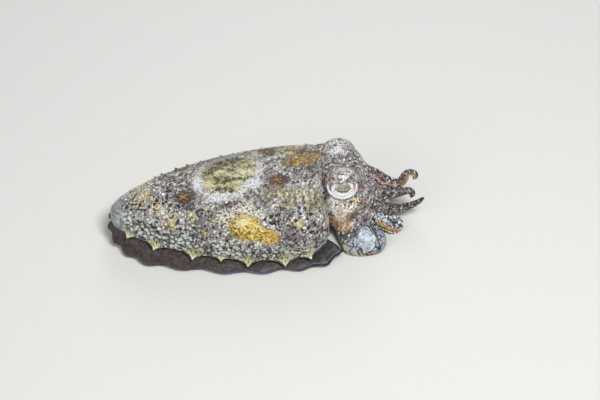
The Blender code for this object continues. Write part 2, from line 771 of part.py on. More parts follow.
def make_arm(name, path):
    pair = name[-1]
    frames = arm_frames(path)
    cuts = ARM_CUTS[pair]
    length = sum((frames[k + 1][0] - frames[k][0]).length for k in range(FRAME_STEPS))
    for k, (start, end) in enumerate(zip(cuts, cuts[1:])):
        rings = []
        steps = max(4, round((end - start) * length / RING_PACE))
        for j in range(steps + 1):
            shift = CUT_GAP / 2 * ((j == 0 and start > 0) - (j == steps and end < 1))
            rings.append(arm_ring(frames, start + (end - start) * j / steps, pair, shift))
        length_name = LENGTH_NAMES[len(cuts) - 1][k]
        piece = make(f"arm_{name}_{length_name}", loft(rings), ARM_SKIN)
        combine(piece, arm_suckers(frames, pair, start, end, length), solver="MANIFOLD")


for arm_name, arm_path in ARM_PATHS.items():
    make_arm(arm_name, arm_path)

# Each station of a broad flap: distance from the mid-plane, middle x, half width, lowest and highest z
FLAP_STATIONS = (
    (2.0, 36.2, 1.5, 1.2, 2.6),
    (5.6, 36.4, 1.7, 1.0, 2.5),
    (8.4, 36.5, 1.8, 0.9, 2.6),
    (9.6, 32.4, 4.4, 0.9, 4.7),
    (11.2, 33.8, 6.0, 0.4, 4.6),
    (13.6, 34.6, 6.1, 0.0, 3.6),
    (15.4, 34.6, 5.5, 0.0, 2.4),
    (16.6, 34.7, 4.0, 0.0, 1.4),
    (17.2, 34.8, 1.8, 0.15, 0.8),
)
FLAP_SIDES = 16
FLAP_RINGS = 12
FLAP_ROOT = 2.4
FLAP_FREE = 0.26
FLAP_SUCKERS = 7
FLAP_SUCKER_START = 0.12
FLAP_SUCKER_END = 0.85
FLAP_SUCKER_TURN = 0.15
FLAP_SUCKER_TILT = 0.1
FLAP_SUCKER_SIZE = 0.5
FLAP_SUCKER_TAPER = 0.4
FLAP_REACH = {"right": 1.0, "left": 0.72}
FLAP_BACK = {"right": 0.0, "left": 1.3}
FLAP_RISE = {"right": 1.0, "left": 0.45}


def flap_point(t, turn, side_name):
    """Point of a broad flap; turn 0 faces forward, a quarter turn faces up."""
    side = -1 if side_name == "right" else 1
    distance, middle, half, low, high = along(FLAP_STATIONS, t)
    reach = FLAP_REACH[side_name]
    half *= 1 - (1 - reach) * ease(t * 2)
    middle -= FLAP_BACK[side_name] * ease(t * 4 - 1)
    high = low + (high - low) * FLAP_RISE[side_name]
    x = max(middle + half * power(math.cos(turn), 0.9), ARM_BASE_X if t < FLAP_FREE else 0)
    z = (low + high) / 2 + (high - low) / 2 * power(math.sin(turn), 0.8)
    return Vector((x, HEAD_Y + side * (FLAP_ROOT + (distance - FLAP_ROOT) * reach), max(z, 0.0)))


def flap_suckers(side_name):
    """One row of suckers along the flap's forward edge."""
    grown = []
    for k in range(FLAP_SUCKERS):
        t = FLAP_SUCKER_START + (FLAP_SUCKER_END - FLAP_SUCKER_START) * k / (FLAP_SUCKERS - 1)
        base = flap_point(t, FLAP_SUCKER_TURN, side_name)
        normal = Vector((math.cos(FLAP_SUCKER_TILT), 0, math.sin(FLAP_SUCKER_TILT)))
        grown.append(sucker(base, normal, FLAP_SUCKER_SIZE * (1 - FLAP_SUCKER_TAPER * t)))
    return grown


for side_name in ("right", "left"):
    rings = []
    for k in range(FLAP_RINGS + 1):
        turns = [2 * math.pi * j / FLAP_SIDES for j in range(FLAP_SIDES)]
        rings.append([flap_point(k / FLAP_RINGS, turn, side_name) for turn in turns])
    flap = make(f"arm_{side_name}_4", loft(rings), ARM_SKIN)
    combine(flap, flap_suckers(side_name), solver="MANIFOLD")
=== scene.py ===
# %% [markdown]
# # A small cuttlefish, still and life size
#
# The animal is one soft body: a broad mantle with a ribbon of fin along each side,
# a head with two raised eyes, and eight arms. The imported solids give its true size
# and place. This lesson dresses them: one skin over the flesh, then eyes, suckers,
# papillae, tufts and ribs as pieces of their own.

# %% The frame and the tools
import math
import random

import bpy
import numpy as np
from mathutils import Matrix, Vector, noise
from mathutils.bvhtree import BVHTree
from mathutils.kdtree import KDTree


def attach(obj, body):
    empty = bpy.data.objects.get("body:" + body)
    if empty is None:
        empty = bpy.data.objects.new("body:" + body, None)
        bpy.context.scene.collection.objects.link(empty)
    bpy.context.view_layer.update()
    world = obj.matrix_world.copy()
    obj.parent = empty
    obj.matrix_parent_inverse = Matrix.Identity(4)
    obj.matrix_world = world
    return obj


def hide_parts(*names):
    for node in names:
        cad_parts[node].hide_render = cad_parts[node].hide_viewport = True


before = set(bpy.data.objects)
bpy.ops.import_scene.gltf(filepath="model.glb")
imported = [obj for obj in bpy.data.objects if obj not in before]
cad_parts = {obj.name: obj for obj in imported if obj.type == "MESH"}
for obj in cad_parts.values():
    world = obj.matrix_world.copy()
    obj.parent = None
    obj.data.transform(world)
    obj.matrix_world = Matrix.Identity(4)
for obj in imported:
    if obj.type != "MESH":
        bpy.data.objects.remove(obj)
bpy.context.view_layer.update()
MM = 0.001
print("solids:", len(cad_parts))

# %% [markdown]
# ## Smooth curves from a few named sizes
#
# A body is easiest to draw as sections: a few stations, each with its width and
# heights, and a smooth curve through them. One sort of curve runs through evenly
# spaced stations, the other gives one value at any place. Both work on whole arrays.

# %% Curves
def through(stations, t):
    """Smooth curve through evenly spaced stations, at each t from 0 to 1."""
    stops = np.asarray(stations, float)
    span = np.clip(t, 0, 1) * (len(stops) - 1)
    i = np.minimum(span.astype(int), len(stops) - 2)
    f = (span - i)[:, None]
    b = stops[i]
    c = stops[i + 1]
    a = np.where((i > 0)[:, None], stops[np.maximum(i - 1, 0)], 2 * b - c)
    last = len(stops) - 1
    d = np.where((i + 2 <= last)[:, None], stops[np.minimum(i + 2, last)], 2 * c - b)
    bend = 2 * a - 5 * b + 4 * c - d
    turn = 3 * b - a - 3 * c + d
    return 0.5 * (2 * b + (c - a) * f + bend * f**2 + turn * f**3)


def value_at(stops, x):
    """Smooth value at each x through stops of (x, value)."""
    stops = np.asarray(stops, float)
    xs = stops[:, 0]
    ys = stops[:, 1]
    slope = np.empty(len(xs))
    slope[1:-1] = (ys[2:] - ys[:-2]) / (xs[2:] - xs[:-2])
    slope[0] = (ys[1] - ys[0]) / (xs[1] - xs[0])
    slope[-1] = (ys[-1] - ys[-2]) / (xs[-1] - xs[-2])
    x = np.clip(x, xs[0], xs[-1])
    i = np.clip(np.searchsorted(xs, x, side="right") - 1, 0, len(xs) - 2)
    span = xs[i + 1] - xs[i]
    f = (x - xs[i]) / span
    rise = (2 * f**3 - 3 * f**2 + 1) * ys[i] + (3 * f**2 - 2 * f**3) * ys[i + 1]
    return rise + span * ((f**3 - 2 * f**2 + f) * slope[i] + (f**3 - f**2) * slope[i + 1])


def ease(value):
    """0 to 1 with a soft start and end."""
    value = np.clip(value, 0, 1)
    return value * value * (3 - 2 * value)


def circle(count):
    """Even angles once round."""
    return np.linspace(0, 2 * np.pi, count, endpoint=False)


def power(value, exponent):
    """A power that keeps the sign."""
    return np.sign(value) * np.abs(value) ** exponent


def unit(vectors):
    """The same directions, one long."""
    return vectors / np.maximum(np.linalg.norm(vectors, axis=-1, keepdims=True), 1e-9)


# %% [markdown]
# ## A heap of surfaces
#
# The flesh is drawn as closed surfaces that overlap: mantle, fins, head, arms. Each
# point carries notes of what it belongs to, such as how far out on a fin it lies.
# Later the heap is remeshed into one skin, which takes over the notes for its colours.

# %% Heap
NOTES = ("fin", "fin_out", "head", "lid", "lid_low", "arm", "arm_along", "arm_face", "blade", "flap",
         "flap_out", "under")


class Heap:
    """Closed surfaces in millimetres, with notes on each point."""

    def __init__(self):
        self.points = []
        self.faces = []
        self.notes = []
        self.count = 0

    def add(self, points, faces, **notes):
        points = np.asarray(points, float).reshape(-1, 3)
        row = np.zeros((len(points), len(NOTES)))
        for name, value in notes.items():
            row[:, NOTES.index(name)] = np.broadcast_to(np.ravel(value), len(points))
        self.points.append(points)
        self.notes.append(row)
        self.faces += [[corner + self.count for corner in face] for face in faces]
        self.count += len(points)

    def add_grid(self, grid, **notes):
        """Rings of points as one closed tube, each end closed by a fan."""
        rings, around = grid.shape[:2]
        points = np.concatenate([grid.reshape(-1, 3), grid[0].mean(0)[None], grid[-1].mean(0)[None]])
        faces = grid_faces(rings, around)
        first = rings * around
        for k in range(around):
            n = (k + 1) % around
            faces.append((n, k, first))
            faces.append(((rings - 1) * around + k, (rings - 1) * around + n, first + 1))
        full = {}
        for name, value in notes.items():
            value = np.broadcast_to(value, (rings, around))
            full[name] = np.concatenate([value.ravel(), [value[0].mean(), value[-1].mean()]])
        self.add(points, faces, **full)


def grid_faces(rings, around):
    """Quads between rings of points, joined round."""
    faces = []
    for i in range(rings - 1):
        for k in range(around):
            n = (k + 1) % around
            faces.append((i * around + k, i * around + n, (i + 1) * around + n, (i + 1) * around + k))
    return faces


def write_note(piece, name, values):
    """A value for each point of a piece, which its finish can read."""
    layer = piece.data.attributes.new(name, "FLOAT", "POINT")
    layer.data.foreach_set("value", values.astype(np.float32))


def mesh_piece(name, heap):
    """Object from a heap in millimetres."""
    mesh = bpy.data.meshes.new(name)
    mesh.from_pydata([tuple(point) for point in np.concatenate(heap.points) * MM], [], heap.faces)
    mesh.update()
    piece = bpy.data.objects.new(name, mesh)
    bpy.context.scene.collection.objects.link(piece)
    return piece


flesh = Heap()

# %% [markdown]
# ## The mantle
#
# The mantle is a dome over a flat belly, with a thin lip along each side that
# overhangs the fin. Each section is half of one superellipse over half of another.
# In front its edge is a free collar round the neck, so the surface turns inward and
# runs back a little way, which leaves the dark gap that the real collar shows.

# %% Mantle
TAIL_X = -31.6
# How far the lip stands out and how far it drops, less where the mantle is narrow
LIP = 0.9
LIP_DROP = 0.7
NARROW = 8.0
BACK_POWER = 2.15
BELLY_POWER = 2.6
# Each station: distance from the tail, half width, heights of margin, back and belly
MANTLE_STATIONS = (
    (0, 1, 7.8, 9.2, 6),
    (0.7, 2.8, 7.5, 10.4, 4.6),
    (2.7, 4.8, 7.1, 11.9, 3.2),
    (6.3, 7.1, 6.4, 13.6, 1.6),
    (11.5, 9.6, 5.7, 15.5, 0.2),
    (19, 12.3, 4.9, 17.5, -0.8),
    (28, 14.6, 4.1, 19.2, -1),
    (37, 16, 3.5, 20.3, -1),
    (45, 16.5, 3.4, 20.9, -1),
    (51.5, 15.9, 3.9, 21.1, -0.8),
    (55.2, 14.2, 4.7, 21.1, -0.3),
    (57.2, 12, 5.6, 21, 0.3),
)
# How far the collar reaches forward, by angle from the ridge of the back
RIM_REACH = ((0, 2.4), (4, 1.7), (9, -0.3), (16, -1.3), (30, -1.7), (48, -1.8), (74, -1.2), (92, -0.4),
             (135, -1.6), (180, -2.4))
RIM_EASE = 9.0
RIM_TURN = 6.5
MANTLE_RINGS = 280
MANTLE_AROUND = 200
COLLAR_GAP = 0.55
COLLAR_DEPTH = 3.2


def collar_reach(distance, angle):
    """How far the front of the mantle is carried ahead, by angle from the ridge."""
    reach = value_at(RIM_REACH, np.abs((angle + RIM_TURN + 180) % 360 - 180))
    return reach * ease((distance - MANTLE_STATIONS[-1][0] + RIM_EASE) / RIM_EASE)


def mantle_skin(t, angle):
    """Skin points; angle 0 is the ridge of the back, 90 the right margin, 180 the belly."""
    t, angle = np.broadcast_arrays(np.asarray(t, float), np.asarray(angle, float))
    shape = t.shape
    t = t.ravel()
    angle = angle.ravel()
    distance, width, margin, back, belly = through(MANTLE_STATIONS, t).T
    turn = np.radians(angle)
    thin = np.minimum(1.0, width / NARROW)
    upper_y = -width * power(np.sin(turn), 2 / BACK_POWER)
    upper_z = margin + (back - margin) * np.abs(np.cos(turn)) ** (2 / BACK_POWER)
    foot = margin - LIP_DROP * thin
    lower_y = -(width - LIP * thin) * power(np.sin(turn), 2 / BELLY_POWER)
    lower_z = np.maximum(foot - (foot - belly) * np.abs(np.cos(turn)) ** (2 / BELLY_POWER), 0)
    upper = np.abs(angle) <= 90
    x = TAIL_X + distance + collar_reach(distance, angle)
    points = np.stack([x, np.where(upper, upper_y, lower_y), np.where(upper, upper_z, lower_z)], axis=1)
    return points.reshape(shape + (3,))


# The marks of the back are mirrored across this line, a little left of the middle
MIDLINE = 0.8
NECK_Y = 1.5
NECK_Z = 10.8
NECK_WIDTH = 8.7
NECK_HEIGHT = 7.6
NECK_BACK_X = 20.8
NECK_POWER = 0.85
COLLAR_NOSE = 0.45


def neck_ring(x, angle, spare):
    """Neck outline at x, made larger all round by spare."""
    turn = np.radians(angle)
    y = NECK_Y - (NECK_WIDTH + spare) * power(np.sin(turn), NECK_POWER)
    z = NECK_Z + (NECK_HEIGHT + spare) * power(np.cos(turn), NECK_POWER)
    return np.stack([np.broadcast_to(x, y.shape), y, z], axis=-1)


# The points stand closer on the ridge of the back, where the marks are finest
half_turn = np.linspace(-1, 1, MANTLE_AROUND // 2)
dorsal = 45 * (half_turn + half_turn**3)
ventral = 90 + 180 * np.linspace(0.004, 0.996, MANTLE_AROUND // 2)
around = np.concatenate([dorsal, np.where(ventral > 180, ventral - 360, ventral)])
rings = np.linspace(0, 1, MANTLE_RINGS)
mantle = mantle_skin(rings[:, None], around[None])
rim = mantle[-1]
inner = neck_ring(rim[:, 0] - 0.3, around, COLLAR_GAP)
nose = (rim + inner) / 2 + np.array((COLLAR_NOSE, 0, 0))
pocket = neck_ring(rim[:, 0] - COLLAR_DEPTH, around, COLLAR_GAP)
under = np.broadcast_to((np.abs(around) > 90).astype(float)[None], (MANTLE_RINGS, MANTLE_AROUND))
flesh.add_grid(np.concatenate([mantle, nose[None], inner[None], pocket[None]]),
               under=np.concatenate([under, under[-3:]]))
print("mantle points:", mantle.shape[0] * mantle.shape[1])

# %% [markdown]
# ## The fins
#
# A fin is a thin ribbon rooted under the lip. Its cross section is a curve from
# the root to the edge, thick at the root, and its edge swings up and down in slow
# waves. The ribbon is a slab about that curve, closed all round.

# %% Fins
FIN_ROOT_THICK = 1.2
FIN_EDGE_THICK = 0.5
FIN_COLUMNS = 22
FIN_ROWS = 420
FIN_START = 0.02
FIN_END = 0.985
FIN_BOW = 0.9
FIN_REACH = ((0.0, 0.0), (0.06, 0.2), (0.16, 1.5), (0.28, 3.0), (0.4, 3.5), (0.55, 2.8), (0.72, 2.8),
             (0.88, 3.6), (0.96, 4.4), (1, 3.6))
FIN_EDGE_Z = ((0.0, 5.4), (0.06, 3.8), (0.14, 1.8), (0.26, 1.0), (0.5, 0.9), (0.8, 1.0), (0.92, 1.5),
              (1, 2.6))
FIN_WAVES = 9.5
FIN_WAVE_OUT = 0.45
FIN_WAVE_UP = 0.35
FLOOR_SPARE = 0.3
FIN_SINK = 0.5
# The root's share of the flank's height, where the ribbon bends, and how it thins
FIN_ROOT_SHARE = 0.42
FIN_BEND = 0.62
FIN_THINNING = 1.3
FIN_BURIED = 0.9
FIN_NOSE = 0.7
TURN_STEP = 0.004


def side_skin(t, drop, side):
    """Points on the mantle's side under the lip, drop below the lip's foot."""
    distance, width, margin, back, belly = through(MANTLE_STATIONS, t).T
    thin = np.minimum(1.0, width / NARROW)
    foot = margin - LIP_DROP * thin
    share = np.minimum(drop / (foot - belly), 0.98)
    y = side * (width - LIP * thin) * (1 - share**BELLY_POWER) ** (1 / BELLY_POWER)
    x = TAIL_X + distance + collar_reach(distance, -side * (92 + 30 * share))
    return np.stack([x, y, foot - drop], axis=-1)


def fin_surface(side):
    """Middle points, normals and half thickness of one fin, root to edge."""
    t = np.linspace(FIN_START, FIN_END, FIN_ROWS)
    distance, width, margin, back, belly = through(MANTLE_STATIONS, t).T
    room = margin - LIP_DROP * np.minimum(1.0, width / NARROW) - belly
    thick = np.minimum(FIN_ROOT_THICK, room * FIN_ROOT_SHARE)
    ahead = side_skin(np.minimum(t + TURN_STEP, 1), FIN_SINK, side)
    run = ahead - side_skin(np.maximum(t - TURN_STEP, 0), FIN_SINK, side)
    run[:, 2] = 0
    run = unit(run)
    out = np.stack([-run[:, 1] * side, run[:, 0] * side, 0 * t], axis=-1)
    root = (side_skin(t, FIN_SINK, side) + side_skin(t, FIN_SINK + thick, side)) / 2
    phase = 2 * np.pi * FIN_WAVES * t
    wave = np.sin(phase + (0.0 if side < 0 else 1.3)) + 0.6 * np.sin(phase * 0.37 + 0.8)
    reach = value_at(FIN_REACH, t) + FIN_WAVE_OUT * wave + FIN_SINK
    height = value_at(FIN_EDGE_Z, t) + FIN_WAVE_UP * (1 + np.sin(phase + 2.0)) * 0.5
    edge = root + reach[:, None] * out
    edge[:, 2] = np.minimum(height, root[:, 2])
    bend = root + (edge - root) * FIN_BEND
    bend[:, 2] = root[:, 2] + FIN_BOW * 0.35
    v = np.linspace(0, 1, FIN_COLUMNS)[None, :, None]
    middle = (1 - v) ** 2 * root[:, None] + 2 * v * (1 - v) * bend[:, None] + v**2 * edge[:, None]
    across = unit(np.gradient(middle, axis=1))
    normal = unit(np.array((0, 0, 1.0)) - across * across[..., 2:3])
    v = v[..., 0]
    half = (thick[:, None] + (FIN_EDGE_THICK - thick[:, None]) * np.minimum(1.0, FIN_THINNING * v)) / 2
    middle[..., 2] += np.maximum(0, FLOOR_SPARE - (middle[..., 2] - half * normal[..., 2]))
    return middle, normal, half, np.broadcast_to(v, half.shape)


for side in (-1, 1):
    middle, normal, half, out = fin_surface(side)
    middle[:, 0] -= unit(middle[:, 1] - middle[:, 0]) * FIN_BURIED
    top = middle + normal * half[..., None]
    bottom = middle - normal * half[..., None]
    tip = middle[:, -1:] + unit(middle[:, -1:] - middle[:, -2:-1]) * half[:, -1:, None] * FIN_NOSE
    rows = np.concatenate([top, tip, bottom[:, ::-1]], axis=1)
    outs = np.concatenate([out, out[:, -1:], out[:, ::-1]], axis=1)
    belly_side = np.concatenate([out * 0, out[:, -1:] * 0, out * 0 + 1], axis=1)
    flesh.add_grid(rows, fin=1.0, fin_out=outs, under=belly_side)
print("fin rows:", FIN_ROWS)

# %% [markdown]
# ## The head and the eye bulges
#
# The head is a short, deep box with rounded edges, wider at its jowls, on a neck
# that slips into the collar. Each eye sits in its own bulge, turned outward and a
# little up. The lids are folds of skin, three over the eye and three under it: tubes
# round the bulge whose thickness changes, which the remesh melts into it.

# %% Head
HEAD_Y = 1.8
HEAD_AROUND = 140
HEAD_POWER = 0.85
HEAD_JOWL = 0.3
# Each station: x, middle y, half width, lowest z and highest z
HEAD_STATIONS = (
    (25.6, 1.5, 8.7, 3.2, 18.4),
    (26.4, 1.6, 9.3, 2.7, 18.3),
    (28, 1.8, 10.2, 2.3, 18),
    (30.5, 1.8, 10.4, 2.2, 17.6),
    (32.6, 1.8, 9.5, 2.1, 16.7),
    (34.2, 1.8, 8.2, 2.2, 15.5),
)
EYE_X = 29.5
EYE_Z = 17.2
EYE_SPREAD = 5.6
BULGE = (4.9, 4.5, 4.4)
EYEBALL = (4.1, 3.7, 3.7)
EYE_ELEVATION = 22.0
# The left eye lies a little lower and closer in than the right one
LEFT_EYE_SHIFT = np.array((0.35, -0.5, -0.9))
EYE_PUSH = 0.75


def head_rings(count):
    """Rings of the head, squarer low down at its jowls."""
    t = np.linspace(0, 1, count)
    x, middle, width, low, high = through(HEAD_STATIONS, t).T[..., None]
    turn = circle(HEAD_AROUND)[None]
    jowl = HEAD_POWER - HEAD_JOWL * ease(t * 4)[:, None] * ease(-np.cos(turn) * 1.5)
    y = middle - width * power(np.sin(turn), jowl)
    z = (low + high) / 2 + (high - low) / 2 * power(np.cos(turn), jowl)
    return np.stack([np.broadcast_to(x, y.shape), y, z], axis=-1)


def eye_frame(side):
    """Bulge centre and the eye's own axes: length, outward, upward."""
    lift = math.radians(EYE_ELEVATION)
    outward = unit(np.array((0.08, side * math.cos(lift), math.sin(lift))))
    length = unit(np.array((1.0, 0, 0)) - outward * outward[0])
    upward = np.cross(length, outward) * side
    centre = np.array((EYE_X, HEAD_Y + side * EYE_SPREAD, EYE_Z)) + LEFT_EYE_SHIFT * (side > 0)
    return centre, length, outward, upward


def on_bulge(side, a, b, lift):
    """Point over the bulge, a along the eye and b up it, lifted off by lift."""
    centre, length, outward, upward = eye_frame(side)
    a = np.asarray(a, float)
    b = np.asarray(b, float)
    depth = BULGE[1] * np.sqrt(np.maximum(1 - (a / BULGE[0]) ** 2 - (b / BULGE[2]) ** 2, 0))
    return centre + a[..., None] * length + b[..., None] * upward + (depth + lift)[..., None] * outward


def ball_rings(centre, radii, axes, rings=60, around=80):
    """Rings of an ellipsoid about its own axes."""
    pole = np.linspace(0.001, np.pi - 0.001, rings)[:, None]
    turn = circle(around)[None]
    local = [np.sin(pole) * np.cos(turn), np.cos(pole) + 0 * turn, np.sin(pole) * np.sin(turn)]
    local = np.stack(local, axis=-1)
    return centre + (local * np.array(radii)) @ np.array(axes)


def tube_rings(path, radius, around=16, outward=None):
    """Rings of a round tube along a path, counted from a side that outward sets."""
    path = np.asarray(path, float)
    radius = np.broadcast_to(radius, len(path))
    run = unit(np.gradient(path, axis=0))
    guide = np.array((0.0, 0.0, 1.0)) if outward is None else outward
    side = unit(np.cross(run, guide))
    up = np.cross(side, run)
    turn = circle(around)
    ring = side[:, None] * np.cos(turn)[None, :, None] + up[:, None] * np.sin(turn)[None, :, None]
    return path[:, None] + ring * radius[:, None, None]


def pad(middle, radii, **notes):
    """A soft swelling under the skin: an ellipsoid that lies square to the axes."""
    flesh.add_grid(ball_rings(np.array(middle), radii, np.eye(3), 40, 60), **notes)


# The mantle's left shoulder stands a little proud before the neck: centre, then radii
SHOULDER = ((21.8, 6.4, 16.2), (4.4, 4.2, 3.7))
NECK_PLACES = (NECK_BACK_X, 22.4, 24.0)
pad(*SHOULDER)
neck_angles = np.linspace(0, 360, HEAD_AROUND, endpoint=False)
neck = np.stack([neck_ring(x, neck_angles, 0.0) for x in NECK_PLACES])
flesh.add_grid(np.concatenate([neck, head_rings(80)]), head=1.0)
for side in (-1, 1):
    centre, length, outward, upward = eye_frame(side)
    flesh.add_grid(ball_rings(centre, BULGE, (length, outward, upward)), head=1.0)
# Each cheek: centre along, out from the mid-plane and up, then its three radii
CHEEKS = (
    ((29.2, 7.4, 8.6), (4.7, 3.9, 6.2)),
    ((31, 8.4, 4.8), (4.4, 3.4, 3.6)),
    ((32.6, 4.6, 12.6), (4.2, 4.6, 4.6)),
    ((27, 6, 12), (3.4, 4.6, 6)),
    ((35.4, 3.6, 8.6), (3.4, 4.2, 5.2)),
    ((35.6, 6, 4.6), (3.4, 3.4, 3.2)),
)
for side in (-1, 1):
    for (x, out, z), radii in CHEEKS:
        pad((x, HEAD_Y + side * out, z), radii, head=1.0)
# The nape swells between the mantle's edge and the eyes: centre, then radii
NAPE_PADS = (
    ((26.4, 1.6, 16.4), (3.4, 5.4, 3.1)),
    ((25.5, 7.2, 15.9), (3.2, 3.6, 3.4)),
    ((32.6, 1.8, 14.6), (3.6, 5.4, 2.6)),
)
for middle, radii in NAPE_PADS:
    pad(middle, radii, head=1.0)
print("swellings of the head:", 2 * len(CHEEKS) + len(NAPE_PADS))

# %% Lids
LID_STEPS = 120
LID_MIDDLE = (-0.6, 0.55)
# Each lower fold: half length, half height, its ends in degrees, lift, thickness at the foot and at the ends
LOWER_FOLDS = (
    (2.75, 1.85, 8, 0.02, 0.20, 0.16),
    (3.70, 2.75, 14, 0.00, 0.44, 0.22),
    (4.35, 4.05, 4, -0.22, 0.34, 0.20),
)
# Each upper fold: half length, height of its middle, droop at its ends, lift, thickness
UPPER_FOLDS = (
    (3.25, 2.15, 0.75, 0.02, 0.46),
    (3.75, 3.00, 1.10, -0.42, 0.90),
    (3.60, 3.95, 1.20, -0.25, 0.42),
)
# The left brow lies flatter than the right one, and every brow's fold is scalloped
FAR_LID_SUNK = 0.3
LID_SCALLOP = 0.14
# Folds shorter than this are the white ones next to the eyeball
WHITE_FOLD = 4.0
for side in (-1, 1):
    outward = eye_frame(side)[2]
    for half, high, ends_up, lift, foot, tip in LOWER_FOLDS:
        turn = np.radians(np.linspace(180 - ends_up, 360 + ends_up, LID_STEPS))
        deep = ease(np.sin(np.linspace(0, np.pi, LID_STEPS)))
        along = LID_MIDDLE[0] + half * np.cos(turn)
        path = on_bulge(side, along, LID_MIDDLE[1] + high * np.sin(turn), lift)
        fold = tube_rings(path, tip + (foot - tip) * deep, outward=outward)
        flesh.add_grid(fold, head=1.0, lid=1.0, lid_low=float(half < WHITE_FOLD))
    for half, high, droop, lift, thick in UPPER_FOLDS:
        share = np.linspace(-1, 1, LID_STEPS)
        lift = lift - FAR_LID_SUNK * (side > 0)
        path = on_bulge(side, LID_MIDDLE[0] + half * share, high - droop * share**2, lift)
        scallop = 1 + LID_SCALLOP * np.sin(share * 19 + high) * np.sin(share * 7 + 1)
        fold = tube_rings(path, thick * (1 - 0.6 * share**2) * scallop, outward=outward)
        flesh.add_grid(fold, head=1.0, lid=1.0)
print("folds round each eye:", len(LOWER_FOLDS) + len(UPPER_FOLDS))

# %% [markdown]
# ## The arms and their webs
#
# Eight arms stand round the mouth. The upper six are tapering tubes along a curve,
# and the lowest pair is spread as broad, soft flaps that rest on the floor. Near
# the head webs join the arms, thin sheets of skin between one arm and the next.

# %% Arms
ARM_BASE_X = 34.5
MOUTH_Z = 7.6
ARM_AROUND = 40
ARM_STEPS = 160
ARM_PATHS = {
    "right_1": ((34.5, -0.2, 13.2), (37.8, -0.5, 10.6), (41, -0.6, 8.2), (43.6, -0.6, 7.2),
                (46.2, -0.5, 7.6), (48.2, -0.5, 7.9), (49.3, -0.6, 6.8), (48.8, -0.8, 5.2)),
    "left_1": ((34.5, 4, 13.3), (38, 3.6, 11.3), (41.2, 3.1, 8.9), (43.8, 2.5, 7.7), (45.8, 2.1, 8.1),
               (46.9, 2, 9.6), (47.3, 1.9, 11.3), (48.2, 1.8, 12.6), (49.7, 1.7, 12.4), (50.2, 1.6, 11.1),
               (49.6, 1.5, 10.2)),
    "right_2": ((34.5, -3.6, 10.3), (37.6, -3.8, 8.1), (40.6, -3.7, 5.8), (43.8, -3.4, 4.4),
                (47, -3.2, 4.4), (49.8, -3.2, 5.6), (51.8, -3.1, 7.4)),
    "left_2": ((34.5, 7.3, 10.3), (37.6, 7.2, 8.2), (40.6, 6.7, 5.8), (43.2, 5.9, 4.3), (45.6, 5.3, 3.4),
               (47.6, 4.8, 2.9)),
    "right_3": ((34.5, -5, 6.1), (37.6, -5.9, 4.6), (40.6, -6.5, 3.5), (43.4, -7, 2.6),
                (45.6, -8.1, 1.8)),
    "left_3": ((34.5, 8.7, 6.1), (37.6, 9.5, 4.8), (40.2, 9.6, 3.6), (42.2, 8.8, 2.5), (43.8, 7.5, 1.9)),
}
# Half width and half thickness along each pair, from base to tip
ARM_WIDTHS = {
    "1": ((0, 1.85), (0.2, 1.7), (0.4, 1.25), (0.7, 0.95), (0.9, 0.75), (1, 0.35)),
    "2": ((0, 1.75), (0.2, 1.6), (0.5, 1.3), (0.75, 0.95), (0.9, 0.7), (1, 0.4)),
    "3": ((0, 1.55), (0.25, 1.55), (0.5, 1.9), (0.75, 2.3), (0.93, 1.6), (1, 0.6)),
}
ARM_THICKS = {
    "1": ((0, 1.9), (0.2, 1.8), (0.4, 1.3), (0.7, 0.8), (0.9, 0.6), (1, 0.35)),
    "2": ((0, 1.75), (0.2, 1.7), (0.5, 1.2), (0.75, 0.85), (0.9, 0.7), (1, 0.4)),
    "3": ((0, 1.5), (0.4, 1.3), (0.75, 1.1), (0.93, 0.9), (1, 0.5)),
}
# How far the outer side of each pair is rolled towards the sky
ARM_LIFT = {"1": 0.0, "2": 4.5, "3": 10.0}
ARM_SINK = 2.5
KEEL_RISE = 0.22
KEEL_SHARP = 14
# The inner side of an arm is flatter than its outer side
ORAL_FLAT = 0.86
# The last ring closes the tip: its share of the ring before it, and how far it stands out
CAP_SHARE = 0.45
CAP_OUT = 0.35


def arm_frames(name, count):
    """Centres, directions, outer sides and breadths at even steps along an arm."""
    t = np.linspace(0, 1, count)
    centre = through(ARM_PATHS[name], t)
    run = unit(np.gradient(centre, axis=0))
    outer = centre[0] - np.array((ARM_BASE_X, HEAD_Y, MOUTH_Z - ARM_LIFT[name[-1]]))
    outers = []
    for direction in run:
        outer = unit(outer - direction * (outer @ direction))
        outers.append(outer)
    outers = np.array(outers)
    return t, centre, run, outers, np.cross(run, outers)


def arm_size(name, t):
    """Half widths and half thicknesses along an arm."""
    return value_at(ARM_WIDTHS[name[-1]], t), value_at(ARM_THICKS[name[-1]], t)


for name in ARM_PATHS:
    t, centre, run, outer, breadth = arm_frames(name, ARM_STEPS)
    wide, thick = arm_size(name, t)
    turn = circle(ARM_AROUND)[None, :, None]
    keel = 1 + KEEL_RISE * np.maximum(np.cos(turn), 0) ** KEEL_SHARP
    oral = np.where(np.cos(turn) < 0, ORAL_FLAT, 1.0)
    ring = breadth[:, None] * wide[:, None, None] * np.sin(turn)
    ring = centre[:, None] + ring + outer[:, None] * thick[:, None, None] * np.cos(turn) * keel * oral
    root = ring[0] - run[0] * ARM_SINK
    cap = centre[-1] + (ring[-1] - centre[-1]) * CAP_SHARE + run[-1] * CAP_OUT * thick[-1]
    ring = np.concatenate([root[None], ring, cap[None]])
    along = np.concatenate([[0], t, [1]])[:, None]
    blade = float(name[-1] == "3")
    flesh.add_grid(ring, arm=1.0, arm_along=along, arm_face=np.cos(turn)[..., 0], blade=blade)

# %% Webs
# Each web: two arms, and how far along each it reaches
WEBS = (
    ("right_1", "left_1", 0.52, 0.36),
    ("right_1", "right_2", 0.46, 0.54),
    ("right_2", "right_3", 0.40, 0.42),
    ("left_1", "left_2", 0.26, 0.40),
    ("left_2", "left_3", 0.38, 0.42),
)
WEB_THICK = 0.8
WEB_SAG = 0.25
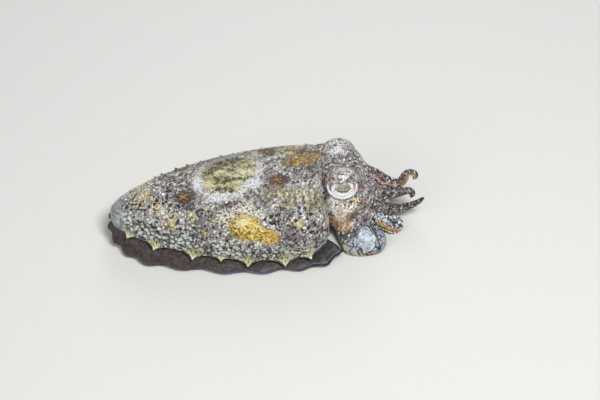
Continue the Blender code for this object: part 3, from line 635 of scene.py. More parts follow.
# A web leaves each arm a little outside its middle, and its free edge is bowed back
WEB_OUT = 0.35
WEB_BOW = 2.2
WEB_ROWS = 60
WEB_COLUMNS = 24
ARM_FRAMES = 400


def web_side(name, share, reach):
    """Where a web leaves an arm, with the arm's directions and outer sides there."""
    t, centre, run, outer, breadth = arm_frames(name, ARM_FRAMES)
    i = (share * reach * (ARM_FRAMES - 1)).astype(int)
    return centre[i] + outer[i] * WEB_OUT * arm_size(name, t[i])[1][:, None], run[i], outer[i]


for first, second, first_reach, second_reach in WEBS:
    share = np.linspace(0, 1, WEB_ROWS)
    v = np.linspace(0, 1, WEB_COLUMNS)[None, :, None]
    place_a, run_a, outer_a = web_side(first, share, first_reach)
    place_b, run_b, outer_b = web_side(second, share, second_reach)
    outer = unit(outer_a + outer_b)[:, None]
    sheet = place_a[:, None] * (1 - v) + place_b[:, None] * v
    sheet = sheet - outer * WEB_SAG * np.sin(np.pi * v)
    fold_back = (np.sin(np.pi * v) * share[:, None, None] ** 3) * WEB_BOW
    sheet = sheet - (run_a + run_b)[:, None] / 2 * fold_back
    top = sheet + outer * WEB_THICK / 2
    bottom = sheet - outer * WEB_THICK / 2
    rings = np.concatenate([top, bottom[:, ::-1]], axis=1)
    flesh.add_grid(rings, arm=1.0, arm_along=share[:, None] * 0.4, arm_face=0.7)
print("arms:", len(ARM_PATHS), "webs:", len(WEBS))

# %% [markdown]
# ## The spread arms, the funnel and the mouth
#
# The lowest arms are drawn from stations like the mantle, but counted outward from
# the animal's middle. The funnel and the mouth, of which little is seen, are short
# tubes of stations too.

# %% Lowest arms
# Each station: distance from the mid-plane, middle x, half width, lowest and highest z
FLAP_STATIONS = (
    (2, 36.2, 1.5, 1.2, 2.6),
    (5.6, 36.4, 1.7, 1, 2.5),
    (8.4, 36.5, 1.8, 0.9, 2.6),
    (9.6, 32.4, 4.4, 0.9, 4.7),
    (11.2, 33.8, 6, 0.4, 4.6),
    (13.6, 34.6, 6.1, 0, 3.6),
    (15.4, 34.6, 5.5, 0, 2.4),
    (16.6, 34.7, 4, 0, 1.4),
    (17.2, 34.8, 1.8, 0.15, 0.8),
)
# By side, right and left: how far each flap reaches, how far back it lies and how high it stands
FLAP_REACH = {-1: 1.0, 1: 0.72}
FLAP_BACK = {-1: 0.0, 1: 1.3}
FLAP_RISE = {-1: 1.0, 1: 0.45}
FLAP_ROOT = 2.4
FLAP_RINGS = 130
FLAP_AROUND = 100
# The rim is noted from this share of the way out
FLAP_RIM_FROM = 0.86


def flap_skin(t, turn, side):
    """Points of a broad flap; turn 0 faces forward, a quarter turn faces up."""
    distance, middle, half, low, high = through(FLAP_STATIONS, t).T[..., None]
    t = t[:, None]
    reach = FLAP_REACH[side]
    half = half * (1 - (1 - reach) * ease(t * 2))
    middle = middle - FLAP_BACK[side] * ease(t * 4 - 1)
    high = low + (high - low) * FLAP_RISE[side]
    x = middle + half * power(np.cos(turn), 0.9)
    z = np.maximum((low + high) / 2 + (high - low) / 2 * power(np.sin(turn), 0.8), 0)
    y = HEAD_Y + side * (FLAP_ROOT + (distance - FLAP_ROOT) * reach)
    return np.stack([x, np.broadcast_to(y, x.shape), z], axis=-1)


for side in (-1, 1):
    t = np.linspace(0, 1, FLAP_RINGS)
    turn = circle(FLAP_AROUND)[None]
    rings = flap_skin(t, turn, side)
    edge = np.abs(np.cos(turn)) ** 6 * np.ones_like(t)[:, None]
    out = np.maximum(edge, ease((t[:, None] - FLAP_RIM_FROM) / (1 - FLAP_RIM_FROM)) + 0 * turn)
    flesh.add_grid(rings, flap=1.0, flap_out=out, under=(np.sin(turn) < -0.2) * 1.0)

# %% Webs of the lowest arms
# Where the web starts and ends along the third arm and the flap, and where round the flap
LOW_WEB_ARM = (0.0, 0.44)
LOW_WEB_FLAP = (0.22, 0.50)
LOW_WEB_TURN = 0.55
LOW_WEB_ROWS = 50
LOW_WEB_BOW = 1.4
for side, name in ((-1, "right_3"), (1, "left_3")):
    share = np.linspace(0, 1, LOW_WEB_ROWS)
    on_arm = LOW_WEB_ARM[0] + (LOW_WEB_ARM[1] - LOW_WEB_ARM[0]) * share
    on_flap = LOW_WEB_FLAP[0] + (LOW_WEB_FLAP[1] - LOW_WEB_FLAP[0]) * share
    a = through(ARM_PATHS[name], on_arm)
    b = flap_skin(on_flap, np.array([[LOW_WEB_TURN]]), side)[:, 0]
    v = np.linspace(0, 1, WEB_COLUMNS)[None, :, None]
    sheet = a[:, None] * (1 - v) + b[:, None] * v
    sheet = sheet - np.array((1.0, 0, 0)) * (np.sin(np.pi * v) * share[:, None, None] ** 2 * LOW_WEB_BOW)
    across = unit(b - a)
    normal = unit(np.cross(across, np.gradient(a, axis=0))) * WEB_THICK / 2
    rings = np.concatenate([sheet + normal[:, None], (sheet - normal[:, None])[:, ::-1]], axis=1)
    flesh.add_grid(rings, arm=1.0, arm_along=0.2, arm_face=0.7, blade=1.0)

# %% Funnel and mouth
# The funnel's stations: x, middle z, half width, half height
FUNNEL_STATIONS = ((24.3, 1.1, 3.2, 0.75), (26.5, 1.1, 2.9, 0.75), (29.0, 1.1, 2.2, 0.75),
                   (31.4, 1.1, 1.6, 0.7))
# The mouth's stations: x, radius
MOUTH_STATIONS = ((33.9, 1.8), (35.6, 1.75), (36.4, 1.5), (37.0, 1.45), (37.5, 1.1), (37.3, 0.7),
                  (36.7, 0.35))
SMALL_AROUND = 48
SMALL_RINGS = 40
turn = circle(SMALL_AROUND)[None]
x, z, wide, high = through(FUNNEL_STATIONS, np.linspace(0, 1, SMALL_RINGS)).T[..., None]
rings = np.stack([x + 0 * turn, HEAD_Y + wide * np.cos(turn), z + high * np.sin(turn)], axis=-1)
flesh.add_grid(rings, head=1.0, under=1.0)
x, radius = through(MOUTH_STATIONS, np.linspace(0, 1, SMALL_RINGS)).T[..., None]
rings = np.stack([x + 0 * turn, HEAD_Y + radius * np.cos(turn), MOUTH_Z + radius * np.sin(turn)], axis=-1)
flesh.add_grid(rings, arm=1.0, arm_face=-1.0)
print("flesh points:", flesh.count)

# %% [markdown]
# ## The pointed flaps along the margin
#
# Over each fin the mantle's edge carries a row of pointed flaps, like small tents
# pitched on the lip. Each is a thin slab between a line on the back and its own
# hollow edge. The ribs on it come later.

# %% Margin flaps
# Each flap's place along the body and its size; the code calls such a flap a tent
TENTS = ((-27.0, 0.75), (-20.3, 1.0), (-10.6, 1.05), (-3.6, 0.6), (3.4, 1.1), (12.9, 1.1), (19.5, 0.8))
TENT_BASE = 2.9
TENT_CLIMB = 2.4
TENT_REACH = 1.9
TENT_DROOP = 0.2
TENT_HOLLOW = 1.7
TENT_THICK = 0.5
# The slab reaches back this share of its climb, and its root is buried this deep
TENT_BACK = -0.7
TENT_BURIED = 0.25
TENT_SHIFT = 0.5
UP = np.array((0.0, 0.0, 1.0))


def flank(t, side, height):
    """Skin points on one side at a height above the margin."""
    t = np.atleast_1d(np.asarray(t, float))
    distance, width, margin, back, belly = through(MANTLE_STATIONS, t).T
    share = (np.maximum(height, 0.0) / (back - margin)) ** (BACK_POWER / 2)
    return mantle_skin(t, -side * (90 - np.degrees(np.arcsin(np.minimum(share, 1.0)))))


steps = np.linspace(0, 1, 800)
margin_line = flank(steps, -1, 0.0)


def station_at(x):
    """Place along the mantle's stations, 0 to 1, where its margin passes x."""
    return float(np.interp(x, margin_line[:, 0], steps))


class Tent:
    """One margin flap: its place on the margin, its way out, and points over it."""

    def __init__(self, x, side, size):
        self.t = station_at(x)
        self.side = side
        self.size = size
        near = flank(np.array((self.t - TURN_STEP, self.t, self.t + TURN_STEP)), side, 0.0)
        run = near[2] - near[0]
        self.pace = np.linalg.norm(run) / (2 * TURN_STEP)
        run = unit(run * np.array((1, 1, 0)))
        self.out = np.array((-run[1] * side, run[0] * side, 0))
        self.run = run

    def over(self, u, v):
        """Points over the flap; u runs along the margin, v from the back (-1) to the edge (1)."""
        u, v = np.broadcast_arrays(u, v)
        t = self.t + TENT_BASE * self.size * u / self.pace
        climb = TENT_CLIMB * self.size * np.maximum(-v, 0) * np.sqrt(np.maximum(1 - u * u, 0))
        points = flank(t.ravel(), self.side, climb.ravel()).reshape(u.shape + (3,))
        reach = TENT_REACH * self.size * (1 - np.abs(u)) ** TENT_HOLLOW * np.maximum(v, 0)
        return points + self.out * reach[..., None] - UP * (TENT_DROOP * np.maximum(v, 0))[..., None]


draw = random.Random(9)
tents = []
for side in (-1, 1):
    for x, size in TENTS:
        shift = draw.uniform(-TENT_SHIFT, TENT_SHIFT) if side > 0 else 0.0
        tents.append(Tent(x + shift, side, size))
for tent in tents:
    u = np.linspace(-1, 1, 41)[:, None]
    v = np.linspace(TENT_BACK, 1, 15)[None]
    top = tent.over(u, v)
    lift = unit(UP + tent.out * 0.5) * TENT_THICK / 2
    inward = np.where(v < 0, TENT_BURIED, 0.0)[..., None] * tent.out
    slab = np.concatenate([top + lift * 0.6 - inward, (top - lift)[:, ::-1] - inward[:, ::-1]], axis=1)
    flesh.add_grid(slab)
print("margin flaps:", len(tents))

# %% [markdown]
# ## One skin over the flesh
#
# A voxel remesh walks a fine grid over the overlapping surfaces and draws one closed
# surface round the whole, with no seam. Each new point takes the notes of the nearest
# old point, and the notes are smoothed, so that the colours fade and do not step.

# %% Skin
VOXEL = 0.2
SMOOTH_PASSES = 3


def edge_ends(mesh):
    """The two point numbers of every edge."""
    ends = np.empty(len(mesh.edges) * 2, np.int64)
    mesh.edges.foreach_get("vertices", ends)
    return ends.reshape(-1, 2).T


def neighbour_mean(ends, values):
    """Mean of each point's neighbours, column by column."""
    a, b = ends
    count = len(values)
    degree = np.maximum(np.bincount(a, minlength=count) + np.bincount(b, minlength=count), 1)
    columns = []
    for value in values.T:
        total = np.bincount(a, value[b], count) + np.bincount(b, value[a], count)
        columns.append(total / degree)
    return np.stack(columns, axis=1)


def at_points(mesh, what):
    """A place ("co") or a direction ("normal") for every point."""
    flat = np.empty(len(mesh.vertices) * 3)
    mesh.vertices.foreach_get(what, flat)
    return flat.reshape(-1, 3)


def set_coordinates(mesh, points):
    """Moves every point of a mesh."""
    mesh.vertices.foreach_set("co", np.ascontiguousarray(points).ravel())
    mesh.update()


def apply_modifier(piece, name):
    """Makes a modifier's result the piece's own mesh."""
    bpy.context.view_layer.objects.active = piece
    with bpy.context.temp_override(object=piece, active_object=piece):
        bpy.ops.object.modifier_apply(modifier=name)


skin = mesh_piece("cuttlefish_skin", flesh)
fuse = skin.modifiers.new("fuse", "REMESH")
fuse.mode = "VOXEL"
fuse.voxel_size = VOXEL * MM
fuse.adaptivity = 0.0
apply_modifier(skin, "fuse")
ends = edge_ends(skin.data)
# Each pass moves every point half way to the mean of its neighbours
points = at_points(skin.data, "co") / MM
for _ in range(SMOOTH_PASSES):
    points = (points + neighbour_mean(ends, points)) / 2
set_coordinates(skin.data, points * MM)
print("skin points:", len(points))

# %% Notes on the skin
NOTE_PASSES = 6


def passed_on(points, ends):
    """Notes of the nearest point in the heap, faded into each other."""
    notes = source_notes[[tree.find(point)[1] for point in points]]
    for _ in range(NOTE_PASSES):
        notes = (notes + neighbour_mean(ends, notes)) / 2
    return notes


source = np.concatenate(flesh.points)
source_notes = np.concatenate(flesh.notes)
tree = KDTree(len(source))
for index, point in enumerate(source):
    tree.insert(point, index)
tree.balance()
notes = passed_on(points, ends)
note = dict(zip(NOTES, notes.T))

# %% [markdown]
# ## Soft creases, and room for the eyes
#
# Where two surfaces cross, the fused skin has a sharp crease, which living skin would
# span. So on the head and the arms each point that lies lower than its neighbours is
# raised towards their mean, many times over, which fills the creases and leaves the
# ridges. The lids keep theirs. Inside them the skin is pushed in for the eyeball.

# %% Creases
CREASE_DEEP = 0.003
CREASE_FROM = 25.0
FILLET_PASSES = 12
FILLET_ROUNDS = 9
soft = np.clip(note["head"] + note["arm"], 0, 1) * (1 - np.clip(note["lid"] * 1.4, 0, 1))
soft *= ease((points[:, 0] - CREASE_FROM) / 1.5)
chosen = np.flatnonzero(points[:, 0] > CREASE_FROM)
order = np.full(len(points), -1)
order[chosen] = np.arange(len(chosen))
near_ends = order[ends]
near_ends = near_ends[:, (near_ends >= 0).all(0)]
for _ in range(FILLET_ROUNDS):
    set_coordinates(skin.data, points * MM)
    out = at_points(skin.data, "normal")[chosen]
    part = points[chosen]
    for _ in range(FILLET_PASSES):
        rise = np.einsum("ij,ij->i", neighbour_mean(near_ends, part) - part, out)
        rise = np.where(rise > CREASE_DEEP, rise, 0) * soft[chosen]
        part = part + out * rise[:, None]
    points[chosen] = part
# Then the filled skin is evened out: a step in, and a slightly longer step back out
EVEN_PASSES = 8
EVEN_STEP = 0.5
EVEN_BACK = 0.53
for _ in range(EVEN_PASSES):
    for step in (EVEN_STEP, -EVEN_BACK):
        part = points[chosen]
        part = part + (neighbour_mean(near_ends, part) - part) * (step * soft[chosen])[:, None]
        points[chosen] = part
print("points near a crease:", len(chosen))

# %% Eye sockets
SOCKET = (2.6, 1.62)
SOCKET_POWER = 2.6
SOCKET_DEPTH = 1.3
SOCKET_EDGE = 0.22
for side in (-1, 1):
    centre, length, outward, upward = eye_frame(side)
    local = points - centre
    a = np.abs(local @ length - LID_MIDDLE[0]) / SOCKET[0]
    b = np.abs(local @ upward - LID_MIDDLE[1]) / SOCKET[1]
    away = (a**SOCKET_POWER + b**SOCKET_POWER) ** (1 / SOCKET_POWER)
    inside = ease((1 + SOCKET_EDGE / 2 - away) / SOCKET_EDGE)
    inside = np.where(local @ outward > 1.5, inside, 0)
    points = points - outward * (SOCKET_DEPTH * inside)[:, None]
points[:, 2] = np.maximum(points[:, 2], 0)
set_coordinates(skin.data, points * MM)

# %% [markdown]
# ## Relief of the skin
#
# Close to, the skin is not smooth: low, soft pimples cover it, higher on the back
# than on the head, and none on the fins. Two sizes of noise draw them. They are only
# a tenth of a millimetre high, but they break up the gloss.

# %% Relief
# Each size of pimple: how many to a millimetre, and how high
RELIEF = ((0.9, 0.09), (2.1, 0.05))
RELIEF_HEAD = 0.7
RELIEF_LEAST = 0.05
out = at_points(skin.data, "normal")
rough = (1 - np.clip(note["fin"], 0, 1)) * (1 - 0.8 * np.clip(note["under"], 0, 1))
rough *= 1 - (1 - RELIEF_HEAD) * np.clip(note["head"] + note["arm"] + note["flap"], 0, 1)
rough *= 1 - np.clip(note["lid"] * 1.5, 0, 1) * 0.8
rise = np.zeros(len(points))
for pace, height in RELIEF:
    for index, point in enumerate(points):
        if rough[index] > RELIEF_LEAST:
            rise[index] += height * noise.noise(Vector(point) * pace)
points = points + out * (rise * rough)[:, None]
points[:, 2] = np.maximum(points[:, 2], 0)
set_coordinates(skin.data, points * MM)
print("greatest relief:", round(float(np.abs(rise * rough).max()), 3), "mm")

# %% Fewer faces where the skin is plain
SKIN_TRIANGLES = 197_000
thin = skin.modifiers.new("thin", "DECIMATE")
thin.ratio = min(1.0, SKIN_TRIANGLES / (2 * len(skin.data.polygons)))
apply_modifier(skin, "thin")
for name in list(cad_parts):
    if not name.startswith("eye"):
        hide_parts(name)
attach(skin, "root")
skin.data.shade_smooth()
points = at_points(skin.data, "co") / MM
notes = passed_on(points, edge_ends(skin.data))
for name, column in zip(NOTES, notes.T):
    write_note(skin, name, column)
skin.data.calc_loop_triangles()
print("skin triangles:", len(skin.data.loop_triangles))

# %% Finding the skin
skin_faces = [list(face.vertices) for face in skin.data.polygons]
skin_tree = BVHTree.FromPolygons([tuple(point) for point in points], skin_faces)
ABOVE_ALL = 40.0


def onto_skin(start, direction):
    """First skin point and normal along a line, in millimetres."""
    place, normal, face, distance = skin_tree.ray_cast(Vector(start), Vector(direction))
    if place is None:
        return None, None
    normal = np.array(normal)
    if normal @ np.asarray(direction) > 0:
        normal = -normal
    return np.array(place), normal


def from_above(x, y):
    """First skin point and normal straight down at a place on the plan."""
    return onto_skin((x, y, ABOVE_ALL), (0, 0, -1))


def finish_piece(name, heap):
    """A smooth piece that rides the body."""
    piece = mesh_piece(name, heap)
    piece.data.shade_smooth()
    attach(piece, "root")
    return piece


# %% [markdown]
# ## The eyes
#
# The eye is a silver ball with a dark pupil shaped like a W, deep in its socket. One
# ball with a shallow dent for the pupil is enough, as the wet clear layer over it is
# a coat in its finish.

# %% Eyeballs
BALL_RINGS = 140
BALL_AROUND = 160
PUPIL_DEPTH = 0.12
PUPIL_HALF_LENGTH = 2.0
PUPIL_HALF_WIDTH = 0.35


def pupil_line(a):
    """Height of the W's line at each place along the eye."""
    a = a - LID_MIDDLE[0]
    return -0.42 + 0.30 * np.abs(a) ** 1.6 / 1.5 + 0.12 * np.cos(a * 2.9)


eyes = []
for side_name, side in (("right", -1), ("left", 1)):
    centre, length, outward, upward = eye_frame(side)
    middle = centre + outward * EYE_PUSH
    rings = ball_rings(middle, EYEBALL, (length, outward, upward), BALL_RINGS, BALL_AROUND)
    local = rings - centre
    along = local @ length
    up = local @ upward
    dent = ease(1 - np.abs(up - pupil_line(along)) / PUPIL_HALF_WIDTH)
    dent = dent * ease((PUPIL_HALF_LENGTH - np.abs(along - LID_MIDDLE[0])) / 0.3)
    front = (local @ outward) > 0
    rings = rings - outward * (PUPIL_DEPTH * dent * front)[..., None]
    ball = Heap()
    ball.add_grid(rings)
    eye = finish_piece(f"{side_name}_eye", ball)
    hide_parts(f"eye_{side_name}")
    eyes.append(eye)
    for name, values in (("gaze_along", along), ("gaze_up", up), ("pupil_line", up - pupil_line(along))):
        poles = [values[0].mean(), values[-1].mean()]
        write_note(eye, name, np.concatenate([values.ravel(), poles]))
print("eyeball across:", 2 * EYEBALL[0], "mm")

# %% [markdown]
# ## Suckers
#
# Two rows of suckers run down the inner side of the upper arms, smaller at the tips.
# Each is a short stalk that opens into a ring with a hollow in it, so its outline,
# turned about its own axis, gives the whole shape.

# %% Suckers
# The sucker's outline from its stalk to its hollow, in shares of its radius
CUP = ((0.35, -0.9), (0.42, -0.3), (0.62, 0.0), (0.95, 0.22), (1.05, 0.45), (1.0, 0.66), (0.86, 0.72),
       (0.7, 0.62), (0.55, 0.38), (0.3, 0.26))
CUP_AROUND = 14
CUP_PACE = 1.02
CUP_SHARE = 0.34
CUP_LEAST = 0.17
CUP_ROW = 0.5
CUP_FIRST = 2.2
CUP_LAST = 0.15
CUP_SPARE = 1.1
CUP_SUNK = 0.92
CUP_SPLAY = 0.25
# The right blade's rows stand nearer to its lower edge, and look out from under it
CUP_SHIFT = {"right_3": 0.46}
CUP_LEAN = {"right_3": 1.1}
CUP_FINE = {"right_3": 0.55}


def turned(base, axis, size, around, outline):
    """A lathe-turned form on the skin, standing along an axis."""
    axis = unit(np.asarray(axis, float))
    side = unit(np.cross(axis, (0.31, 0.83, 0.46)))
    other = np.cross(axis, side)
    turn = circle(around)[None, :, None]
    outline = np.array(outline)[:, None, :]
    ring = side * np.cos(turn) + other * np.sin(turn)
    return base + (ring * outline[..., :1] + axis * outline[..., 1:]) * size


cup_pieces = []
for name in ARM_PATHS:
    cups = Heap()
    t, centre, run, outer, breadth = arm_frames(name, 600)
    length = np.concatenate([[0], np.cumsum(np.linalg.norm(np.diff(centre, axis=0), axis=1))])
    wide, thick = arm_size(name, t)
    place = CUP_FIRST
    row = 0
    while place < length[-1] - CUP_LAST:
        i = int(np.searchsorted(length, place))
        size = max(CUP_LEAST, CUP_SHARE * wide[i] * CUP_FINE.get(name, 1.0))
        shift = CUP_SHIFT.get(name, 0.0) * wide[i] * ease(t[i] * 3)
        sway = CUP_ROW * wide[i] * (1 if row % 2 else -1) + shift
        across = min(abs(sway) / wide[i], 1.0)
        sunk = thick[i] * ORAL_FLAT * CUP_SUNK * math.sqrt(max(0.0, 1 - across**2))
        hit = centre[i] + breadth[i] * sway - outer[i] * sunk
        lean = sway * (CUP_SPLAY + CUP_LEAN.get(name, 0.0) * across) / max(wide[i], 0.1)
        axis = unit(-outer[i] + breadth[i] * lean)
        cups.add_grid(turned(hit + axis * size * 0.5, axis, size, CUP_AROUND, CUP))
        place += CUP_PACE * size * CUP_SPARE
        row += 1
    side_name, pair = name.split("_")
    cup_pieces.append(finish_piece(f"{side_name}_arm_{pair}_suckers", cups))
    print(name, "suckers:", row)

# %% [markdown]
# ## Ribs of the margin flaps
#
# From the point of each flap pale ribs fan out up the back and fork as they go. Each
# rib is a thin tapering cord whose points are laid on the skin by rays, half sunk,
# so that it follows every dip.

# %% Ribs
RIBS = 7
RIB_THICK = 0.14
RIB_END = 0.04
RIB_POINTS = 16
RIB_CLIMB = 1.35
# How far off the flap a ray starts, and how far off a hit may lie
RAY_BACK = 1.2
RAY_MISS = 1.5
BRANCH_BACK = 1.0
BRANCH_MISS = 1.2


def on_tent(tent, u, v):
    """Skin point and normal over a margin flap."""
    guess = tent.over(np.array([u]), np.array([v]))[0]
    down = -unit(UP + tent.out * 0.6)
    place, normal = onto_skin(guess - down * RAY_BACK, down)
    if place is None or np.linalg.norm(place - guess) > RAY_MISS:
        return guess, -down
    return place, normal


def cord(path, thick_start, thick_end, around=7):
    """A round strand along a path, tapered from its start to its end."""
    radius = np.linspace(thick_start, thick_end, len(path))
    return tube_rings(path, radius, around)


ribs = Heap()
draw = random.Random(21)
for tent in tents:
    for k in range(RIBS):
        fan = -1 + 2 * k / (RIBS - 1)
        sway = draw.uniform(-0.08, 0.08)
        climb = RIB_CLIMB * draw.uniform(0.75, 1.1) * (1 - 0.45 * abs(fan))
        path = []
        for share in np.linspace(0, 1, RIB_POINTS):
            v = 1 - (1 + climb) * share
            u = fan * (0.86 * share**1.15) + sway * math.sin(share * 7)
            if v > 0:
                room = 1 - abs(u)
                v = min(v, 0.97 * room)
            place, normal = on_tent(tent, u, v)
            path.append(place + normal * RIB_THICK * 0.25)
        path = np.array(path)
        ribs.add_grid(cord(path, RIB_THICK * (0.8 + 0.25 * tent.size), RIB_END))
        fork = int(RIB_POINTS * draw.uniform(0.45, 0.65))
        lean = draw.choice((-1, 1)) * draw.uniform(0.5, 0.9)
        branch = [path[fork]]
        reach = path[min(fork + 4, RIB_POINTS - 1)] - path[fork]
        for share in np.linspace(0.2, 1, 6):
            point = path[fork] + reach * share * 1.1 + tent.run * lean * share
            down = -unit(UP + tent.out * 0.6)
            place, normal = onto_skin(point - down * BRANCH_BACK, down)
            if place is not None and np.linalg.norm(place - point) < BRANCH_MISS:
                branch.append(place + normal * RIB_THICK * 0.2)
        if len(branch) > 3:
            ribs.add_grid(cord(np.array(branch), RIB_THICK * 0.75, RIB_END))
rib_piece = finish_piece("margin_ribs", ribs)
print("rib points:", ribs.count)

# %% [markdown]
# ## Papillae
#
# The animal can raise its skin in points. Here many stand up on the back, tipped with
# yellow, and a few low orange tufts lie between them. Each grows from the skin below.

# %% Papillae
# The larger points: place on the plan, then size
POINTS_PLACED = (
    (-22.8, -0.1, 0.8), (-24.5, -1.9, 0.7), (-26.4, -3, 0.7), (-19.3, -4.9, 0.8), (-18, -7, 0.8),
    (-15.8, -9.1, 0.9), (-21.1, -8.2, 0.7), (-10.3, -9.4, 0.9), (-7.3, -12.2, 0.8), (-18.3, -9.3, 0.8),
    (-11.9, -12.2, 0.8), (-4.8, -14.1, 0.8), (-21, 4, 1), (-18.6, 4.6, 0.9), (-1.2, 9.6, 0.9),
    (4.2, 6.7, 0.8), (10.9, 6.9, 0.9), (-13.2, 7.6, 1.1), (20.1, 8.8, 0.8), (13.6, 1.6, 0.7),
    (15.1, -2.1, 0.6), (17.6, -6, 0.6), (8, 1, 0.6), (22, -8, 0.6),
)
# A point's outline from its foot to its tip, in shares of its size
POINT = ((1.7, -0.35), (1.15, -0.06), (0.8, 0.14), (0.58, 0.36), (0.42, 0.62), (0.28, 0.86), (0.15, 1.02),
         (0.04, 1.08))
POINT_AROUND = 14
POINT_SHARE = 0.52
POINT_TALL = 1.3
SMALL_POINTS = 120
SMALL_SIZES = (0.28, 0.5)
SMALL_X = (-30, 24)
SMALL_Y = (-15.5, 15.5)
LEAST_APART = 1.6
MOST_TRIES = 4000
# Points further than this from the middle have a twin on the other side
TWIN_FROM = 3.5
POINTS_WITHIN = 0.9
POINT_LEAN = np.array((-0.25, 0, 0.1))
points_piece = Heap()
draw = random.Random(33)
places = []
for x, y, size in POINTS_PLACED:
    places.append((x, y, size))
    if abs(y - HEAD_Y) > TWIN_FROM:
        places.append((x + draw.uniform(-1, 1), MIDLINE - (y - MIDLINE) + draw.uniform(-1, 1), size))
tries = 0
while len(places) < 2 * len(POINTS_PLACED) + SMALL_POINTS and tries < MOST_TRIES:
    tries += 1
    x = draw.uniform(*SMALL_X)
    y = draw.uniform(*SMALL_Y)
    far = min(math.hypot(x - px, y - py) for px, py, _ in places)
    if far > LEAST_APART:
        places.append((x, y, draw.uniform(*SMALL_SIZES)))
for x, y, size in places:
    place, normal = from_above(x, y)
    width = through(MANTLE_STATIONS, np.array([station_at(x)]))[0, 1]
    if place is None or abs(y) > POINTS_WITHIN * width:
        continue
    axis = unit(normal + POINT_LEAN)
    scale = size * POINT_SHARE * POINT_TALL
    rings = turned(place, axis, scale, POINT_AROUND, POINT)
    height = np.clip(((rings - place) @ axis) / (scale * 1.5), 0, 1)
    points_piece.add_grid(rings, arm_along=height)
papillae = finish_piece("back_papillae", points_piece)
# The heap carried each point's height in a note, and the finish calls it the tip
write_note(papillae, "tip", np.concatenate(points_piece.notes)[:, NOTES.index("arm_along")])
print("papillae:", len(points_piece.points))

# %% Orange tufts
# Each tuft: place, then the bearings of its arms in degrees, then their length
TUFTS = (
    ((-12.1, -3.8), (20, 150, 205, 320), 1.5),
    ((-12.8, 7.3), (10, 130, 250), 1.3),
    ((12.4, -3.7), (0, 40, 100, 165, 200, 240, 320), 1.5),
    ((10.5, 9.1), (30, 160, 280), 1.4),
    ((10.9, 6.9), (80, 200, 320), 1.1),
    ((0.5, -8), (10, 130, 250), 0.5),
    ((18.8, 5.9), (20, 120, 190, 300), 0.9),
)
TUFT_THICK = 0.26
TUFT_END = 0.08
TUFT_LIFT = 0.04
TUFT_STEPS = 8
tufts = Heap()
for (x, y), bearings, size in TUFTS:
    for bearing in bearings:
        turn = math.radians(bearing)
        path = []
        for share in np.linspace(0, 1, TUFT_STEPS):
            px = x + math.cos(turn) * size * share
            py = y + math.sin(turn) * size * share
            place, normal = from_above(px, py)
            path.append(place + normal * (TUFT_LIFT * share))
        tufts.add_grid(cord(np.array(path), TUFT_THICK, TUFT_END, 8))
tuft_piece = finish_piece("orange_tufts", tufts)
print("tufts:", len(TUFTS))

# %% [markdown]
# ## Writing a finish as sums
#
# Every finish here is worked out in the shader from the place on the body, so there
# is no picture to wrap and no seam. A small class stands for one socket and takes
# part in sums, which add the Math nodes. Colours go through Mix nodes, since a Math
# node would turn them grey, and places go through Vector Math.

